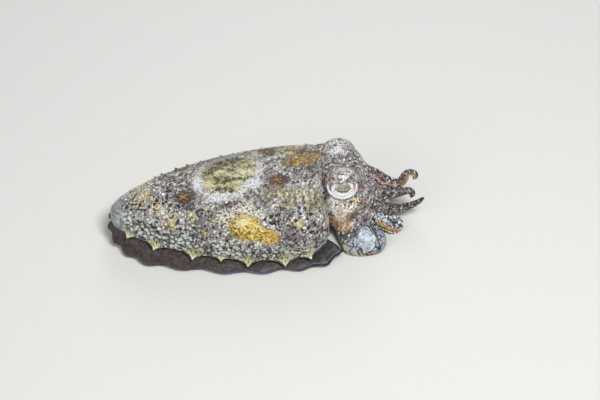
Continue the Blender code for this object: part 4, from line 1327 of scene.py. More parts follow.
# %% Sockets in sums
class Wire:
    """One socket of a finish's nodes."""

    def __init__(self, tree, socket=None):
        self.tree = tree
        self.socket = socket

    def node(self, kind, settings=None, values=None, out=0):
        """Adds a node: its settings first, then its sockets' values or links."""
        made = self.tree.nodes.new("ShaderNode" + kind)
        for name, value in (settings or {}).items():
            if name == "stops":
                ends = made.color_ramp.elements
                for element, (place, colour) in zip((ends[0], ends[1]), (value[0], value[-1])):
                    element.position = place
                    element.color = colour
                for place, colour in value[1:-1]:
                    ends.new(place).color = colour
            else:
                setattr(made, name, value)
        for key, value in (values or {}).items():
            if isinstance(value, Wire):
                self.tree.links.new(value.socket, made.inputs[key])
            else:
                made.inputs[key].default_value = value
        return Wire(self.tree, made.outputs[out])

    def sum(self, operation, first, second):
        """One Math or Vector Math node on two values, by what this socket carries."""
        if self.socket.type == "VECTOR":
            pair = [(value,) * 3 if isinstance(value, (int, float)) else value for value in (first, second)]
            return self.node("VectorMath", {"operation": operation}, {0: pair[0], 1: pair[1]})
        return self.node("Math", {"operation": operation}, {0: first, 1: second})

    def __add__(self, other):
        return self.sum("ADD", self, other)

    def __radd__(self, other):
        return self.sum("ADD", other, self)

    def __sub__(self, other):
        return self.sum("SUBTRACT", self, other)

    def __rsub__(self, other):
        return self.sum("SUBTRACT", other, self)

    def __mul__(self, other):
        return self.sum("MULTIPLY", self, other)

    def __rmul__(self, other):
        return self.sum("MULTIPLY", other, self)

    def __abs__(self):
        return self.node("Math", {"operation": "ABSOLUTE"}, {0: self})

    def most(self, other):
        return self.sum("MAXIMUM", self, other)

    def least(self, other):
        return self.sum("MINIMUM", self, other)

    def fade(self, low, high):
        """0 up to low, 1 from high on, eased between; low may be above high."""
        return self.node("MapRange", {"interpolation_type": "SMOOTHSTEP"}, {0: self, 1: low, 2: high})

    def beside(self, value, far, near):
        """1 within near of a value, 0 past far from it, eased between."""
        return abs(self - value).fade(far, near)

    def mix(self, first, second):
        """Colour between first and second by this mask."""
        return self.node("Mix", {"data_type": "RGBA"}, {0: self, 6: first, 7: second}, out=2)

    def ramp(self, *stops):
        """Colour along a row of stops, each a place from 0 to 1 and a tone."""
        return self.node("ValToRGB", {"stops": stops}, {0: self})

    def noise(self, pace, detail=2.0, rough=0.5, out=0):
        """Soft noise, so many lumps to a millimetre; output 1 has three values."""
        values = {"Vector": self, "Scale": pace, "Detail": detail, "Roughness": rough}
        return self.node("TexNoise", None, values, out=out)

    def cells(self, pace, out=0, feature="F1"):
        """Distance from the nearest cell's middle or edge; output 1 has three values for it."""
        return self.node("TexVoronoi", {"feature": feature}, {"Vector": self, "Scale": pace}, out=out)

    def part(self, axis):
        """One of the three values of a place or a colour."""
        return self.node("SeparateXYZ", None, {0: self}, out=axis)

    def dot(self, direction):
        """How far this place lies along a direction."""
        return self.node("VectorMath", {"operation": "DOT_PRODUCT"}, {0: self, 1: direction}, out="Value")

    def step_along(self, direction):
        """A direction, as many times as long as this number says."""
        return self.node("VectorMath", {"operation": "SCALE"}, {0: direction, "Scale": self})

    def length(self):
        return self.node("VectorMath", {"operation": "LENGTH"}, {0: self}, out="Value")

    def away(self, centre, radii):
        """Distance from a centre in radii: 1 on the ellipsoid."""
        return ((self - centre) * tuple(1 / radius for radius in radii)).length()


def tone(red, green, blue):
    """Linear colour of a display colour with parts from 0 to 255."""
    parts = []
    for value in (red, green, blue):
        share = value / 255
        parts.append(share / 12.92 if share <= 0.04045 else ((share + 0.055) / 1.055) ** 2.4)
    return (*parts, 1.0)


WET_SKIN_IOR = 1.4


def finish(name, roughness, coat, coat_rough=0.15):
    """New finish: its shader and a first wire that carries the place in millimetres."""
    made = bpy.data.materials.new(name)
    made.use_nodes = True
    tree = made.node_tree
    shader = tree.nodes["Principled BSDF"]
    shader.inputs["Roughness"].default_value = roughness
    shader.inputs["Coat Weight"].default_value = coat
    shader.inputs["Coat Roughness"].default_value = coat_rough
    shader.inputs["IOR"].default_value = WET_SKIN_IOR
    place = Wire(tree).node("TexCoord", out="Object") * (1 / MM)
    return made, shader, place


def noted(wire, name):
    """A note that the piece carries, smooth from point to point."""
    return wire.node("Attribute", {"attribute_name": name}, out="Fac")


def feed(shader, socket, wire):
    """Links a wire to one of the shader's sockets."""
    wire.tree.links.new(wire.socket, shader.inputs[socket])


def bumped(shader, height, distance):
    """Raises the finish by a height, distance in millimetres."""
    normal = height.node("Bump", None, {"Strength": 1.0, "Distance": distance * MM, "Height": height})
    feed(shader, "Normal", normal)


print("black and white:", tone(0, 0, 0), tone(255, 255, 255))

# %% [markdown]
# ## The dappled skin
#
# Up close the skin is a crowd of colour sacs: pale flecks, dark spots that run
# together in places, and grey-lilac between. Layers of noise and cells give these.
# Over them lie the animal's marks, each a soft ellipsoid with a ragged edge.

# %% Speckle
DARK = tone(38, 28, 28)
UMBER = tone(72, 60, 56)
LILAC = tone(116, 111, 110)
SILVER = tone(154, 152, 149)
WHITE = tone(224, 227, 223)
STRAW = tone(196, 186, 138)
# How many flecks and how many spots there are to a millimetre
FLECK_PACE = 1.3
SPOT_PACE = 1.0


def swayed(place, pace, width, detail=2.0):
    """The place, pushed about by noise up to half a width either way."""
    return place + (place.noise(pace, detail, out=1) - 0.5) * width


def speckle(place, dark_share, pale_share):
    """Grey-lilac ground with pale flecks and dark spots, by how much of each is wanted."""
    near = swayed(place, 0.8, 1.4)
    grain = place.noise(1.9, 3.0, 0.7)
    ground = grain.ramp((0.37, UMBER), (0.47, LILAC), (0.57, SILVER), (0.70, WHITE))
    fleck_tone = near.cells(FLECK_PACE, out=1)
    chance = (fleck_tone.part(0) + (pale_share - 0.5)).fade(0.42, 0.58)
    pale = (near.cells(FLECK_PACE) + (grain - 0.5) * 0.8).fade(0.54, 0.34) * chance
    fleck = fleck_tone.part(2).fade(0.66, 0.74).mix(WHITE, STRAW)
    colour = pale.mix(ground, fleck)
    far = near + 3.7
    chance = (far.cells(SPOT_PACE, out=1).part(1) + (dark_share - 0.5)).fade(0.44, 0.56)
    spot = (far.cells(SPOT_PACE) + (grain - 0.5) * 1.3).fade(0.60, 0.42) * chance
    line = near.noise(0.9, 3.0, 0.65).beside(0.5, 0.06, 0.02)
    line = line * (place.noise(0.8, 2.0) + (dark_share - 0.5)).fade(0.46, 0.58)
    dark = spot.most(line)
    return dark.mix(colour, DARK), pale, dark


def grit(place, colour, pale_tone, dark_tone, pale_share, dark_share, pace):
    """Small crisp dots of a pale and a dark tone over a colour."""
    near = swayed(place, 1.2, 1.0)
    chance = near.cells(pace, out=1)
    pale = near.cells(pace).fade(0.50, 0.34) * (chance.part(0) + pale_share).fade(0.96, 1.04)
    far = near + 1.3
    dark = far.cells(pace * 0.9).fade(0.50, 0.32) * (chance.part(1) + dark_share).fade(0.96, 1.04)
    return dark.mix(pale.mix(colour, pale_tone), dark_tone)


# %% Patches
def patch(place, centre, along, across, radii):
    """Distance from a centre in radii, measured in a slanted ellipse that ignores depth."""
    local = place - centre
    first = local.dot(along) * (1 / radii[0])
    second = local.dot(across) * (1 / radii[1])
    return first.node("Math", {"operation": "SQRT"}, {0: first * first + second * second})


def slant(degrees):
    """The two directions of an ellipse on the plan, turned by an angle."""
    turn = math.radians(degrees)
    return (math.cos(turn), math.sin(turn), 0.0), (-math.sin(turn), math.cos(turn), 0.0)


def mirrored(place):
    """The place with the left side folded over on the right, for marks that both sides carry."""
    y = place.part(1) - MIDLINE
    return place.node("CombineXYZ", None, {0: place.part(0), 1: MIDLINE - abs(y), 2: place.part(2)})


def nearest(place, spots, ragged):
    """Least distance, in radii, from a list of soft spots."""
    least = None
    for centre, radii in spots:
        one = place.away(centre, radii) + ragged
        least = one if least is None else least.least(one)
    return least


# %% [markdown]
# ## Fine lines
#
# Some marks are lines, such as the orange keel of an arm or the corner of the eye. A
# stroke measures how far the skin lies from a line through a few points. Depth, as
# the camera sees it, counts for little, so the line also lands on skin that lies a
# little above or below its points.

# %% Strokes
# The direction towards the camera, along which a stroke's depth counts for this share
SIGHT = np.array((-0.073, -0.639, 0.766))
STROKE_DEPTH = 0.15


def stroke(place, points):
    """Distance in millimetres from a line through a few points, laid on whatever skin is near."""
    points = np.array(points)
    points = points - SIGHT * (points @ SIGHT)[:, None] * (1 - STROKE_DEPTH)
    near = place - (place.dot(tuple(SIGHT)) * (1 - STROKE_DEPTH)).step_along(tuple(SIGHT))
    least = None
    for start, end in zip(points, points[1:]):
        run = end - start
        local = near - tuple(start)
        share = local.dot(tuple(run / (run @ run)))
        share = share.node("Clamp", None, {0: share})
        one = (local - share.step_along(tuple(run))).length()
        least = one if least is None else least.least(one)
    return least


# %% [markdown]
# ## Marks of the mantle
#
# First come pale netted flanks with dark clouds and yellow stains. Over them lie an
# olive dusting behind the eye, the round saddle in its broken pale ring, the golden
# patches, a yellow one on the nape, dark halos under the tufts and the grey tail.
# Each function takes the colour so far and returns the next.

# %% Flanks and clouds
# Each dark cloud: centre, radii
CLOUDS = (
    ((-7.1, -10.9, 13.6), (3.8, 3.2, 3.6)), ((-10.5, -6.2, 16.6), (3, 2.4, 3)),
    ((8.8, -8.4, 18.5), (2.8, 2.2, 2.6)), ((15.1, -10.1, 17.7), (3.4, 2.4, 3)),
    ((12.3, -4.4, 20.2), (3.6, 2.2, 3)), ((11.5, 8.3, 19), (3.4, 2.6, 3)),
    ((-12, 7.6, 17.5), (3.6, 3, 3)), ((-8, -15.5, 8), (3.6, 3, 3.4)),
    ((15, -14.5, 10), (4.4, 3.4, 4.4)), ((-2.5, -9, 17), (2.6, 1.6, 2.4)),
    ((-9, -1.5, 18), (2.4, 2.2, 2)), ((20, 4, 20), (6.5, 4.4, 3.4)),
)
# Each yellow tint: centre, radii
YELLOW_TINTS = (
    ((-22.8, -0.7, 14.5), (3, 2.6, 3)), ((-7.3, -12.5, 11.9), (1.7, 1.5, 2)),
    ((-15.7, -8.5, 13.1), (1.9, 2.4, 2.6)), ((17, 7, 19.5), (4.5, 3.6, 4)),
    ((-22.5, 5, 14.5), (4, 3, 4)), ((-19.3, -5.1, 15.3), (2.2, 1.8, 2.2)),
    ((-10.3, -9.5, 14.8), (1.5, 1.4, 1.8)), ((17, -13.6, 13.9), (1.5, 1.2, 1.6)),
)
# Painted bluish shade beyond the saddle, where the back turns away from the light: centre, radii
SLATE_SHADE = ((-1.0, 8.8, 18.2), (9.0, 2.0, 3.0))
BLOB_PACE = 0.85
DOT_PACE = 0.34


def flank_marks(place, broad, ragged, colour, dark):
    """Pale netted flanks, a plainer ridge, dark clouds, yellow tints, dots and a painted shade beyond the
    saddle.
    """
    low = (place.part(2) + place.part(0) * 0.12 + ragged * 5.0).fade(11.5, 6.5)
    blob = (broad * 0.3 + place * 0.7 + 8.0).cells(BLOB_PACE) + ragged * 0.9
    colour = (low * blob.fade(0.46, 0.28) * 0.9).mix(colour, tone(200, 210, 199))
    net = blob.beside(0.62, 0.20, 0.07) * place.noise(1.1, 2.0).fade(0.38, 0.50)
    colour = (low * net * 0.9).mix(colour, DARK)
    ridge = place.part(2).fade(15.5, 18.5)
    colour = (ridge * 0.28).mix(colour, LILAC)
    cloud = nearest(place, CLOUDS, ragged * 1.1).fade(1.15, 0.5)
    colour = (cloud * 0.45).mix(colour, tone(66, 54, 53))
    tint = nearest(place, YELLOW_TINTS, ragged * 1.2).fade(1.2, 0.5)
    tint = tint * place.noise(1.3, 2.0, 0.6).fade(0.42, 0.56) * (1 - dark * 0.8)
    colour = (tint * 0.72).mix(colour, tone(196, 178, 98))
    dot = broad * 0.2 + place * 0.8 - 5.0
    chance = dot.cells(DOT_PACE, out=1).part(1).fade(0.50, 0.56)
    dotted = (dot.cells(DOT_PACE) + (place.noise(1.6, 2.0) - 0.5) * 0.3).fade(0.20, 0.13) * chance
    colour = (dotted * 0.8).mix(colour, tone(206, 184, 100))
    # Painted shade: a bluish-grey darkening beyond the saddle, where the back turns away from the light
    slate_shade = (place.away(*SLATE_SHADE) + ragged * 0.8).fade(1.1, 0.5)
    return (slate_shade * 0.5).mix(colour, tone(84, 85, 92))


# %% Olive dusting
# The dusting behind the eye: centre, radii
COLLAR = (
    ((11.4, -6.6, 19.6), (3.4, 1.7, 2.6)), ((16.2, -8.4, 18.8), (4.2, 2.4, 3.2)),
    ((21.6, -8.8, 18), (2.8, 3.6, 4)),
)


def collar_marks(place, ragged, fibre, colour):
    """Olive fibres with yellow and dark grit."""
    collar = nearest(place, COLLAR, ragged * 1.1).fade(1.25, 0.6)
    olive = fibre.fade(0.40, 0.60).mix(tone(74, 62, 48), tone(142, 132, 102))
    olive = grit(place, olive, tone(198, 186, 122), tone(44, 34, 30), 0.42, 0.34, 1.5)
    return (collar * 0.75).mix(colour, olive)


# %% The saddle
SADDLE_MIDDLE = (0.1, 1.0, 20.0)
SADDLE_RADII = (7.6, 6.4)
SADDLE_SLANT = 12.6
# The saddle's paler panels, its darker clouds and the whitest parts of its ring: centre, radii
SADDLE_PALE = (
    ((3.7, 0.1, 20.1), (2.6, 1.7, 2)), ((1.3, -3, 19.6), (2.7, 1.4, 2)),
    ((-5.4, -1.9, 18.8), (1.8, 1.5, 2)), ((-2, 1.4, 19.4), (2.3, 1.3, 2)),
)
SADDLE_DARK = (
    ((-0.1, -1.5, 19.6), (4.4, 0.8, 2)), ((-4.5, 2.9, 18.8), (2.8, 1.8, 2)),
    ((0.4, 5.6, 18.9), (4.4, 2.2, 2.4)), ((-1.9, -4.3, 19), (3.8, 0.9, 2)),
)
RING_WHITE = (
    ((5.9, -3.7, 20), (2.7, 1.7, 2)), ((-8, -0.8, 18.4), (1.5, 2.4, 2)),
    ((-3.2, -6.1, 18.4), (3.6, 1.1, 2)),
)
# How far a panel or a cloud moves the mottling towards pale or dark
SADDLE_SWING = 0.085


def saddle_marks(place, broad, ragged, colour):
    """Mottled olive within a pale ring, which is whitest in three places."""
    saddle = patch(place + (broad - place) * 0.35, SADDLE_MIDDLE, *slant(SADDLE_SLANT), SADDLE_RADII)
    saddle = saddle + ragged * 0.34
    saddle = saddle + place.part(2).fade(15.0, 12.0) * 2.0
    ring = (saddle + ragged * 0.2).fade(1.28, 1.14) * (place.part(1).fade(6.0, 1.0) * 0.9).most(0.25)
    ring_colour = place.noise(1.7, 3.0, 0.65).fade(0.38, 0.54).mix(tone(112, 108, 106), tone(208, 209, 202))
    colour = (ring * 0.92).mix(colour, ring_colour)
    mottle = place.noise(0.85, 4.0, 0.72)
    light = nearest(place, SADDLE_PALE, ragged * 0.8).fade(1.2, 0.6)
    shade = nearest(place, SADDLE_DARK, ragged * 0.9).fade(1.2, 0.6)
    mottle = mottle + light * SADDLE_SWING - shade * SADDLE_SWING
    olive = mottle.ramp((0.39, tone(62, 54, 38)), (0.45, tone(112, 105, 74)), (0.51, tone(152, 148, 108)),
                        (0.58, tone(178, 173, 130)), (0.66, tone(206, 203, 168)))
    flecks = place.noise(2.2, 2.0, 0.6).fade(0.56, 0.62)
    olive = (flecks * 0.7).mix(olive, tone(72, 60, 44))
    within = (saddle + ragged * 0.3).fade(1.02, 0.92)
    colour = (within * 0.97).mix(colour, olive)
    white = nearest(place, RING_WHITE, ragged * 2.0).fade(1.1, 0.8)
    white_colour = place.noise(1.9, 3.0, 0.65).fade(0.38, 0.52).mix(tone(138, 134, 138), tone(208, 209, 210))
    return (white * 0.85).mix(colour, white_colour)


# %% The golden patches
GOLD = tone(188, 158, 64)
GOLD_DEEP = tone(124, 94, 38)
# The patch is two ellipses on the slope of the flank: its two directions, then centres and radii
GOLD_ALONG = (0.906, -0.294, -0.305)
GOLD_ACROSS = (0.411, 0.435, 0.801)
GOLD_BODY = ((3.5, -12.8, 13.2), GOLD_ALONG, GOLD_ACROSS, (5.2, 3.8))
GOLD_TAIL = ((8.0, -14.4, 11.5), GOLD_ALONG, GOLD_ACROSS, (4.4, 2.3))
# Soft spots within it: centre, radii
GOLD_LIGHT = ((4.7, -12.8, 13.6), (2.2, 1.5, 1.5))
GOLD_CREAM = ((2.9, -11.6, 14.5), (2.1, 1.1, 1.4))
GOLD_END = ((10.4, -14.8, 10.6), (2.0, 1.6, 1.8))
# The pale squiggles round it: centre, radii
GOLD_FRINGE = (
    ((-2, -10.4, 15.9), (2.8, 2, 2.2)), ((2.6, -9.8, 16.9), (3.2, 1.5, 1.8)),
    ((6.6, -10.9, 16.3), (2.2, 1.2, 1.6)), ((-1.6, -12.6, 12.9), (1.3, 1.8, 2.2)),
    ((1.4, -14.4, 10.3), (2.6, 1.2, 1.5)),
)


def gold_marks(place, broad, ragged, fibre, colour):
    """A golden patch on each flank, cream at its top, with a fringe of pale squiggles."""
    both = mirrored(place + (broad - place) * 0.4)
    gold = patch(both, *GOLD_BODY).least(patch(both, *GOLD_TAIL)) + ragged * 0.9
    gold = gold + place.part(2).fade(4.0, 2.0) * 3.0
    squiggle = place.noise(1.0, 3.0, 0.6).beside(0.5, 0.08, 0.035)
    fringe = nearest(both, GOLD_FRINGE, ragged * 1.4).fade(1.2, 0.7)
    fringe_colour = squiggle.mix(tone(92, 82, 72), tone(214, 213, 194))
    colour = (fringe * (0.45 + 0.45 * squiggle)).mix(colour, fringe_colour)
    core = (gold + (fibre - 0.5) * 0.9).fade(1.0, 0.80)
    rearward = (both.part(0) + ragged * 5.0).fade(3.5, 0.5)
    fibre = fibre + both.away(*GOLD_LIGHT).fade(1.2, 0.3) * 0.035 - rearward * 0.05
    gold_colour = fibre.ramp((0.36, tone(80, 60, 32)), (0.43, GOLD_DEEP), (0.50, GOLD),
                             (0.56, tone(210, 190, 100)), (0.62, tone(230, 226, 180)))
    cream = (both.away(*GOLD_CREAM) + ragged * 2.0).fade(1.1, 0.6)
    gold_colour = (cream * 0.62).mix(gold_colour, tone(230, 224, 182))
    end = both.away(*GOLD_END).fade(1.2, 0.5)
    gold_colour = (end * 0.4).mix(gold_colour, tone(180, 126, 46))
    return core.mix(colour, gold_colour)


# %% Nape, halos and tail
NAPE = ((20.0, 2.3, 20.5), *slant(12), (5.6, 2.6))
# Soft spots: the nape's brown middle and the blue-green streak at the collar: centre, radii
NAPE_BROWN = ((20.8, 1.6, 21.0), (2.2, 1.3, 2.0))
STREAK = ((25.3, -12.0, 5.6), (0.8, 1.1, 2.0))


def nape_marks(place, broad, ragged, colour):
    """The yellow patch on the midline behind the head, drawn in fine threads."""
    nape = patch(broad, *NAPE) + ragged * 1.1
    nape = nape + place.part(2).fade(17.0, 14.0) * 2.0
    thread = (place * (1.0, 0.6, 1.0)).noise(2.3, 3.0, 0.7)
    yellow = thread.ramp((0.42, tone(32, 25, 18)), (0.48, tone(98, 74, 24)), (0.54, tone(160, 130, 36)),
                         (0.64, tone(200, 178, 78)))
    yellow = (place.away(*NAPE_BROWN).fade(1.2, 0.5) * 0.45).mix(yellow, tone(122, 78, 32))
    colour = (nape.fade(1.3, 0.8) * 0.75).mix(colour, tone(74, 62, 50))
    return (nape.fade(1.1, 0.7) * place.noise(1.2, 2.0, 0.6).fade(0.36, 0.48)).mix(colour, yellow)


def tuft_halos(place, broad, ragged, colour):
    """A dark oval under each orange tuft."""
    near = broad * 0.4 + place * 0.6
    high = place.part(2).fade(10.0, 13.0)
    for (x, y), bearings, size in TUFTS:
        halo = patch(near, (x + 0.6, y, 20.0), *slant(0), (size * 1.9, size * 1.2)) + ragged * 0.5
        colour = (halo.fade(1.15, 0.75) * high * 0.85).mix(colour, tone(68, 51, 46))
    return colour


def end_marks(place, ragged, colour):
    """The smooth grey tail, and a blue-green streak at the collar's foot."""
    tail = (place.part(0) + ragged * 3.0).fade(-26.5, -29.5)
    grey = place.noise(0.9, 3.0).fade(0.4, 0.6).mix(tone(112, 116, 118), tone(160, 164, 164))
    colour = (tail * 0.7).mix(colour, grey)
    streak = (place.away(*STREAK) + ragged * 0.8).fade(1.1, 0.5)
    return (streak * 0.7).mix(colour, tone(96, 176, 156))


def mantle_marks(place, colour, dark):
    """The animal's own patches over the speckle."""
    ragged = place.noise(0.95, 3.0, 0.65) - 0.5
    broad = swayed(place, 0.22, 4.5, 1.0)
    fibre = place.noise(1.35, 4.0, 0.75)
    colour = flank_marks(place, broad, ragged, colour, dark)
    colour = collar_marks(place, ragged, fibre, colour)
    colour = saddle_marks(place, broad, ragged, colour)
    colour = gold_marks(place, broad, ragged, fibre, colour)
    colour = nape_marks(place, broad, ragged, colour)
    colour = tuft_halos(place, broad, ragged, colour)
    return end_marks(place, ragged, colour)


# %% Colours of the margin and the fins
# The fan of each margin flap, in shares of its size
FAN_RADII = (3.0, 2.6, 2.4)


def mantle_edge(place, colour, dark):
    """Cream and greenish fans round the point of each margin flap."""
    fans = None
    for tent in tents:
        tip = tent.over(np.array([0.0]), np.array([0.3]))[0]
        one = place.away(tuple(tip), tuple(radius * tent.size for radius in FAN_RADII))
        fans = one if fans is None else fans.least(one)
    fan = (fans + (place.noise(1.1, 2.0) - 0.5) * 0.9).fade(1.05, 0.65)
    between = place.noise(1.8, 3.0, 0.65).fade(0.44, 0.60).mix(tone(50, 54, 46), tone(140, 150, 132))
    return (fan * (0.8 - 0.4 * dark)).mix(colour, between)


def fin_colours(place):
    """Dark, thin fin: purple brown with fine pale specks, a violet line at the edge, and a darker front lobe
    that is partly painted shade.
    """
    out = noted(place, "fin_out")
    grain = place.noise(1.3, 4.0, 0.7)
    colour = grain.fade(0.38, 0.62).mix(tone(34, 27, 27), tone(70, 58, 55))
    speck = place.cells(2.4).fade(0.22, 0.10) * place.noise(0.6, 1.0).fade(0.46, 0.60)
    colour = (speck * 0.3).mix(colour, tone(140, 124, 114))
    rays = (place * (1.0, 0.35, 0.35)).noise(1.7, 2.0, 0.6).beside(0.5, 0.05, 0.0)
    colour = (rays * 0.25).mix(colour, tone(96, 84, 82))
    thin = out.fade(0.80, 0.97)
    colour = (thin * 0.35).mix(colour, tone(86, 82, 88))
    middle = place.part(0).fade(-6.0, -3.0) * place.part(0).fade(11.0, 8.0)
    edge = out.fade(0.945, 0.99) * middle * place.noise(0.3, 1.0).fade(0.40, 0.50)
    colour = (edge * 0.85).mix(colour, tone(104, 108, 176))
    # The front lobe is darker: partly the fin's own dark tone, partly painted shade under the mantle's edge
    lobe = place.part(0).fade(15.0, 21.0)
    lobe_tone_and_shade = grain.fade(0.35, 0.65).mix(tone(19, 18, 19), tone(36, 34, 34))
    colour = (lobe * 0.85).mix(colour, lobe_tone_and_shade)
    arc = out.beside(0.82, 0.045, 0.015) * lobe
    return (arc * 0.45).mix(colour, tone(126, 122, 122))


# %% [markdown]
# ## Colours of the head
#
# The head has six rows of tones along the same noise: ash over the brow, brown behind
# it, white and golden on the cheek, orange low down, and lilac for the rest. Soft
# spots choose between them. The lids are white below the eye and mottled above it.

# %% The head's tones and spots
HEAD_TONES = {
    "brown": ((0.38, tone(66, 48, 38)), (0.46, tone(124, 98, 74)), (0.53, tone(164, 150, 134)),
              (0.62, tone(208, 204, 198))),
    "pale": ((0.36, tone(88, 60, 40)), (0.43, tone(158, 132, 102)), (0.50, tone(204, 193, 175)),
             (0.60, tone(230, 229, 225))),
    "orange": ((0.36, tone(100, 58, 30)), (0.44, tone(174, 118, 68)), (0.52, tone(206, 162, 108)),
               (0.62, tone(230, 212, 180))),
    "lilac": ((0.39, tone(44, 36, 35)), (0.46, tone(98, 90, 88)), (0.54, tone(142, 137, 135)),
              (0.63, tone(208, 210, 210))),
    "ash": ((0.38, tone(64, 54, 50)), (0.45, tone(124, 117, 112)), (0.53, tone(170, 167, 162)),
            (0.62, tone(220, 221, 220))),
    "golden": ((0.40, tone(72, 44, 24)), (0.46, tone(156, 112, 60)), (0.51, tone(212, 192, 150)),
               (0.58, tone(238, 234, 224))),
}
# Each soft spot of the head: centre, radii
HEAD_SPOTS = {
    "brow": ((29, -4.6, 21.6), (5.4, 4, 3.4)),
    "behind the eye": ((26.6, -5.2, 20.6), (2.8, 2.2, 2.4)),
    "crown": ((28.6, 6.6, 19.4), (2.4, 2.2, 2.4)),
    "far side": ((28.8, 7.8, 17.6), (5.4, 4.6, 4.6)),
    "cheek": ((28.8, -9.2, 13.2), (4.8, 4.2, 4.6)),
    "cheek front": ((32.6, -8.2, 12.8), (2.8, 3.4, 3.4)),
    "cheek foot": ((28, -10.4, 6.8), (4.2, 4.6, 4.4)),
    "stain": ((31.9, -8.5, 9.6), (2.2, 2.4, 1.8)),
    "shadow": ((31.8, -10, 3.6), (2.8, 2.8, 1.6)),
}
# Lines round the eye and before the arms, in millimetres; the line before the eye carries a painted shadow
EYE_CORNER = ((31.0, -6.6, 20.4), (31.9, -6.9, 19.3), (32.5, -6.8, 17.7))
TEMPLE_SHADOW = ((33.6, -3.6, 16.6), (34.4, -2.6, 13.6))
EYE_FLUSH = ((32.9, -6.6, 17.0), (35.2, -3.2, 12.4), (36.1, -4.0, 11.2), (36.0, -5.4, 8.4), (36.5, -6.4, 7.0))
SEAM_X = 35.1
# Half length and half height of the lids' groove, and the outer line in shares of it
EYE_GROOVE = (3.15, 2.30)
EYE_OUTLINE = 1.37


def spot(place, name, ragged, outer, inner):
    """A ragged soft spot of the head: 0 past outer, 1 within inner, in shares of its radii."""
    return (place.away(*HEAD_SPOTS[name]) + ragged).fade(outer, inner)


# %% Colours of the head
def head_top(place, both, ragged, grain, fine, colour):
    """Lilac mottling, the pale brow, brown behind the eye and the far side's white crown."""
    lilac = grain.ramp(*HEAD_TONES["lilac"])
    colour = (0.6 + 0.3 * fine.fade(0.4, 0.6)).mix(colour, lilac)
    colour = grit(place, colour, tone(210, 212, 212), DARK, 0.34, 0.40, 1.35)
    brow = spot(both, "brow", ragged * 1.2, 1.15, 0.5)
    ash = grit(place, grain.ramp(*HEAD_TONES["ash"]), tone(230, 230, 229), tone(72, 53, 41), 0.34, 0.46, 1.25)
    colour = (brow * 0.85).mix(colour, ash)
    tan = spot(place, "behind the eye", ragged * 1.4, 1.15, 0.4)
    brown = grain.ramp(*HEAD_TONES["brown"])
    colour = (tan * 0.85).mix(colour, brown)
    crown = spot(place, "crown", ragged * 1.4, 1.1, 0.4)
    colour = (crown * 0.68).mix(colour, fine.fade(0.35, 0.55).mix(tone(150, 152, 156), tone(212, 216, 218)))
    far_side = spot(place, "far side", ragged * 1.4, 1.1, 0.6) * (1 - crown)
    colour = (far_side * fine.fade(0.62, 0.40) * 0.75).mix(colour, tone(72, 62, 58))
    return colour, brow, ash, brown


def cheek_marks(place, both, ragged, grain, fine, colour):
    """White cheek, golden before and orange below, with brown stains, a painted shadow beside the eye and
    another low on the cheek.
    """
    def gritty(tones, pale_tone, dark_tone, pale_share, dark_share, pace):
        return grit(place, grain.ramp(*HEAD_TONES[tones]), pale_tone, dark_tone, pale_share, dark_share, pace)

    cheek = spot(both, "cheek", ragged * 1.2, 1.15, 0.6)
    white = gritty("pale", tone(236, 237, 235), tone(68, 43, 27), 0.3, 0.56, 1.0)
    colour = (cheek * 0.95).mix(colour, white)
    front = spot(both, "cheek front", ragged * 1.2, 1.1, 0.5)
    golden = gritty("golden", tone(242, 240, 233), tone(54, 33, 22), 0.40, 0.50, 0.95)
    colour = (front * 0.9).mix(colour, golden)
    foot = spot(both, "cheek foot", ragged * 1.3, 1.15, 0.5)
    orange = gritty("orange", tone(222, 212, 194), tone(62, 38, 28), 0.32, 0.12, 1.5)
    colour = (foot * 0.9).mix(colour, orange)
    stain = spot(both, "stain", ragged * 1.5, 1.1, 0.4)
    colour = (stain * 0.85).mix(colour, fine.fade(0.35, 0.6).mix(tone(58, 36, 27), tone(120, 86, 62)))
    # Painted shadow: a dark mottled band on the side of the head before the eye
    temple_shadow = stroke(place + ragged * 2.0, TEMPLE_SHADOW).fade(1.9, 0.7)
    colour = (temple_shadow * 0.6).mix(colour, fine.fade(0.4, 0.6).mix(tone(58, 47, 52), tone(112, 102, 106)))
    shadow = spot(both, "shadow", ragged * 1.1, 1.1, 0.5)
    shade = grit(place, tone(56, 44, 40), tone(202, 204, 204), DARK, 0.40, 0.1, 1.2)
    return (shadow * 0.85).mix(colour, shade), cheek


def eye_rings(place):
    """Distance from the middle of the nearer eye's lids, 1 on their groove."""
    rings = None
    for side in (-1, 1):
        centre, length, outward, upward = eye_frame(side)
        middle = centre + length * LID_MIDDLE[0] + upward * LID_MIDDLE[1]
        one = patch(place, tuple(middle), tuple(length), tuple(upward), EYE_GROOVE)
        one = one + (place.part(1) * side).fade(2.0 + side * HEAD_Y, side * HEAD_Y) * 9
        rings = one if rings is None else rings.least(one)
    return rings


def eye_lines(place, both, ragged, fine, colour, lids, below):
    """Painted shade in the groove between the lid folds, the brown outline of the lids, an orange corner and
    a red flush.
    """
    rings = eye_rings(place)
    # Painted shade: a darker line in the groove between the lower lid folds
    groove = rings.beside(1.0, 0.075, 0.02) * below
    colour = (groove * 0.6).mix(colour, tone(132, 122, 134))
    outline = abs(rings - EYE_OUTLINE + ragged * 0.10).fade(0.09, 0.02)
    outline = outline * lids.most(0.4) * (1 - both.part(2).fade(18.5, 19.5))
    colour = (outline * 0.55).mix(colour, tone(140, 88, 52))
    wavy = swayed(place, 0.9, 0.8)
    corner = stroke(wavy, EYE_CORNER).fade(0.30, 0.10)
    colour = (corner * 0.8).mix(colour, fine.fade(0.4, 0.6).mix(tone(196, 96, 40), tone(238, 172, 84)))
    flush = stroke(wavy, EYE_FLUSH).fade(0.32, 0.10) * (0.4 + 0.5 * fine.fade(0.35, 0.5))
    return (flush * 0.8).mix(colour, tone(196, 104, 86))


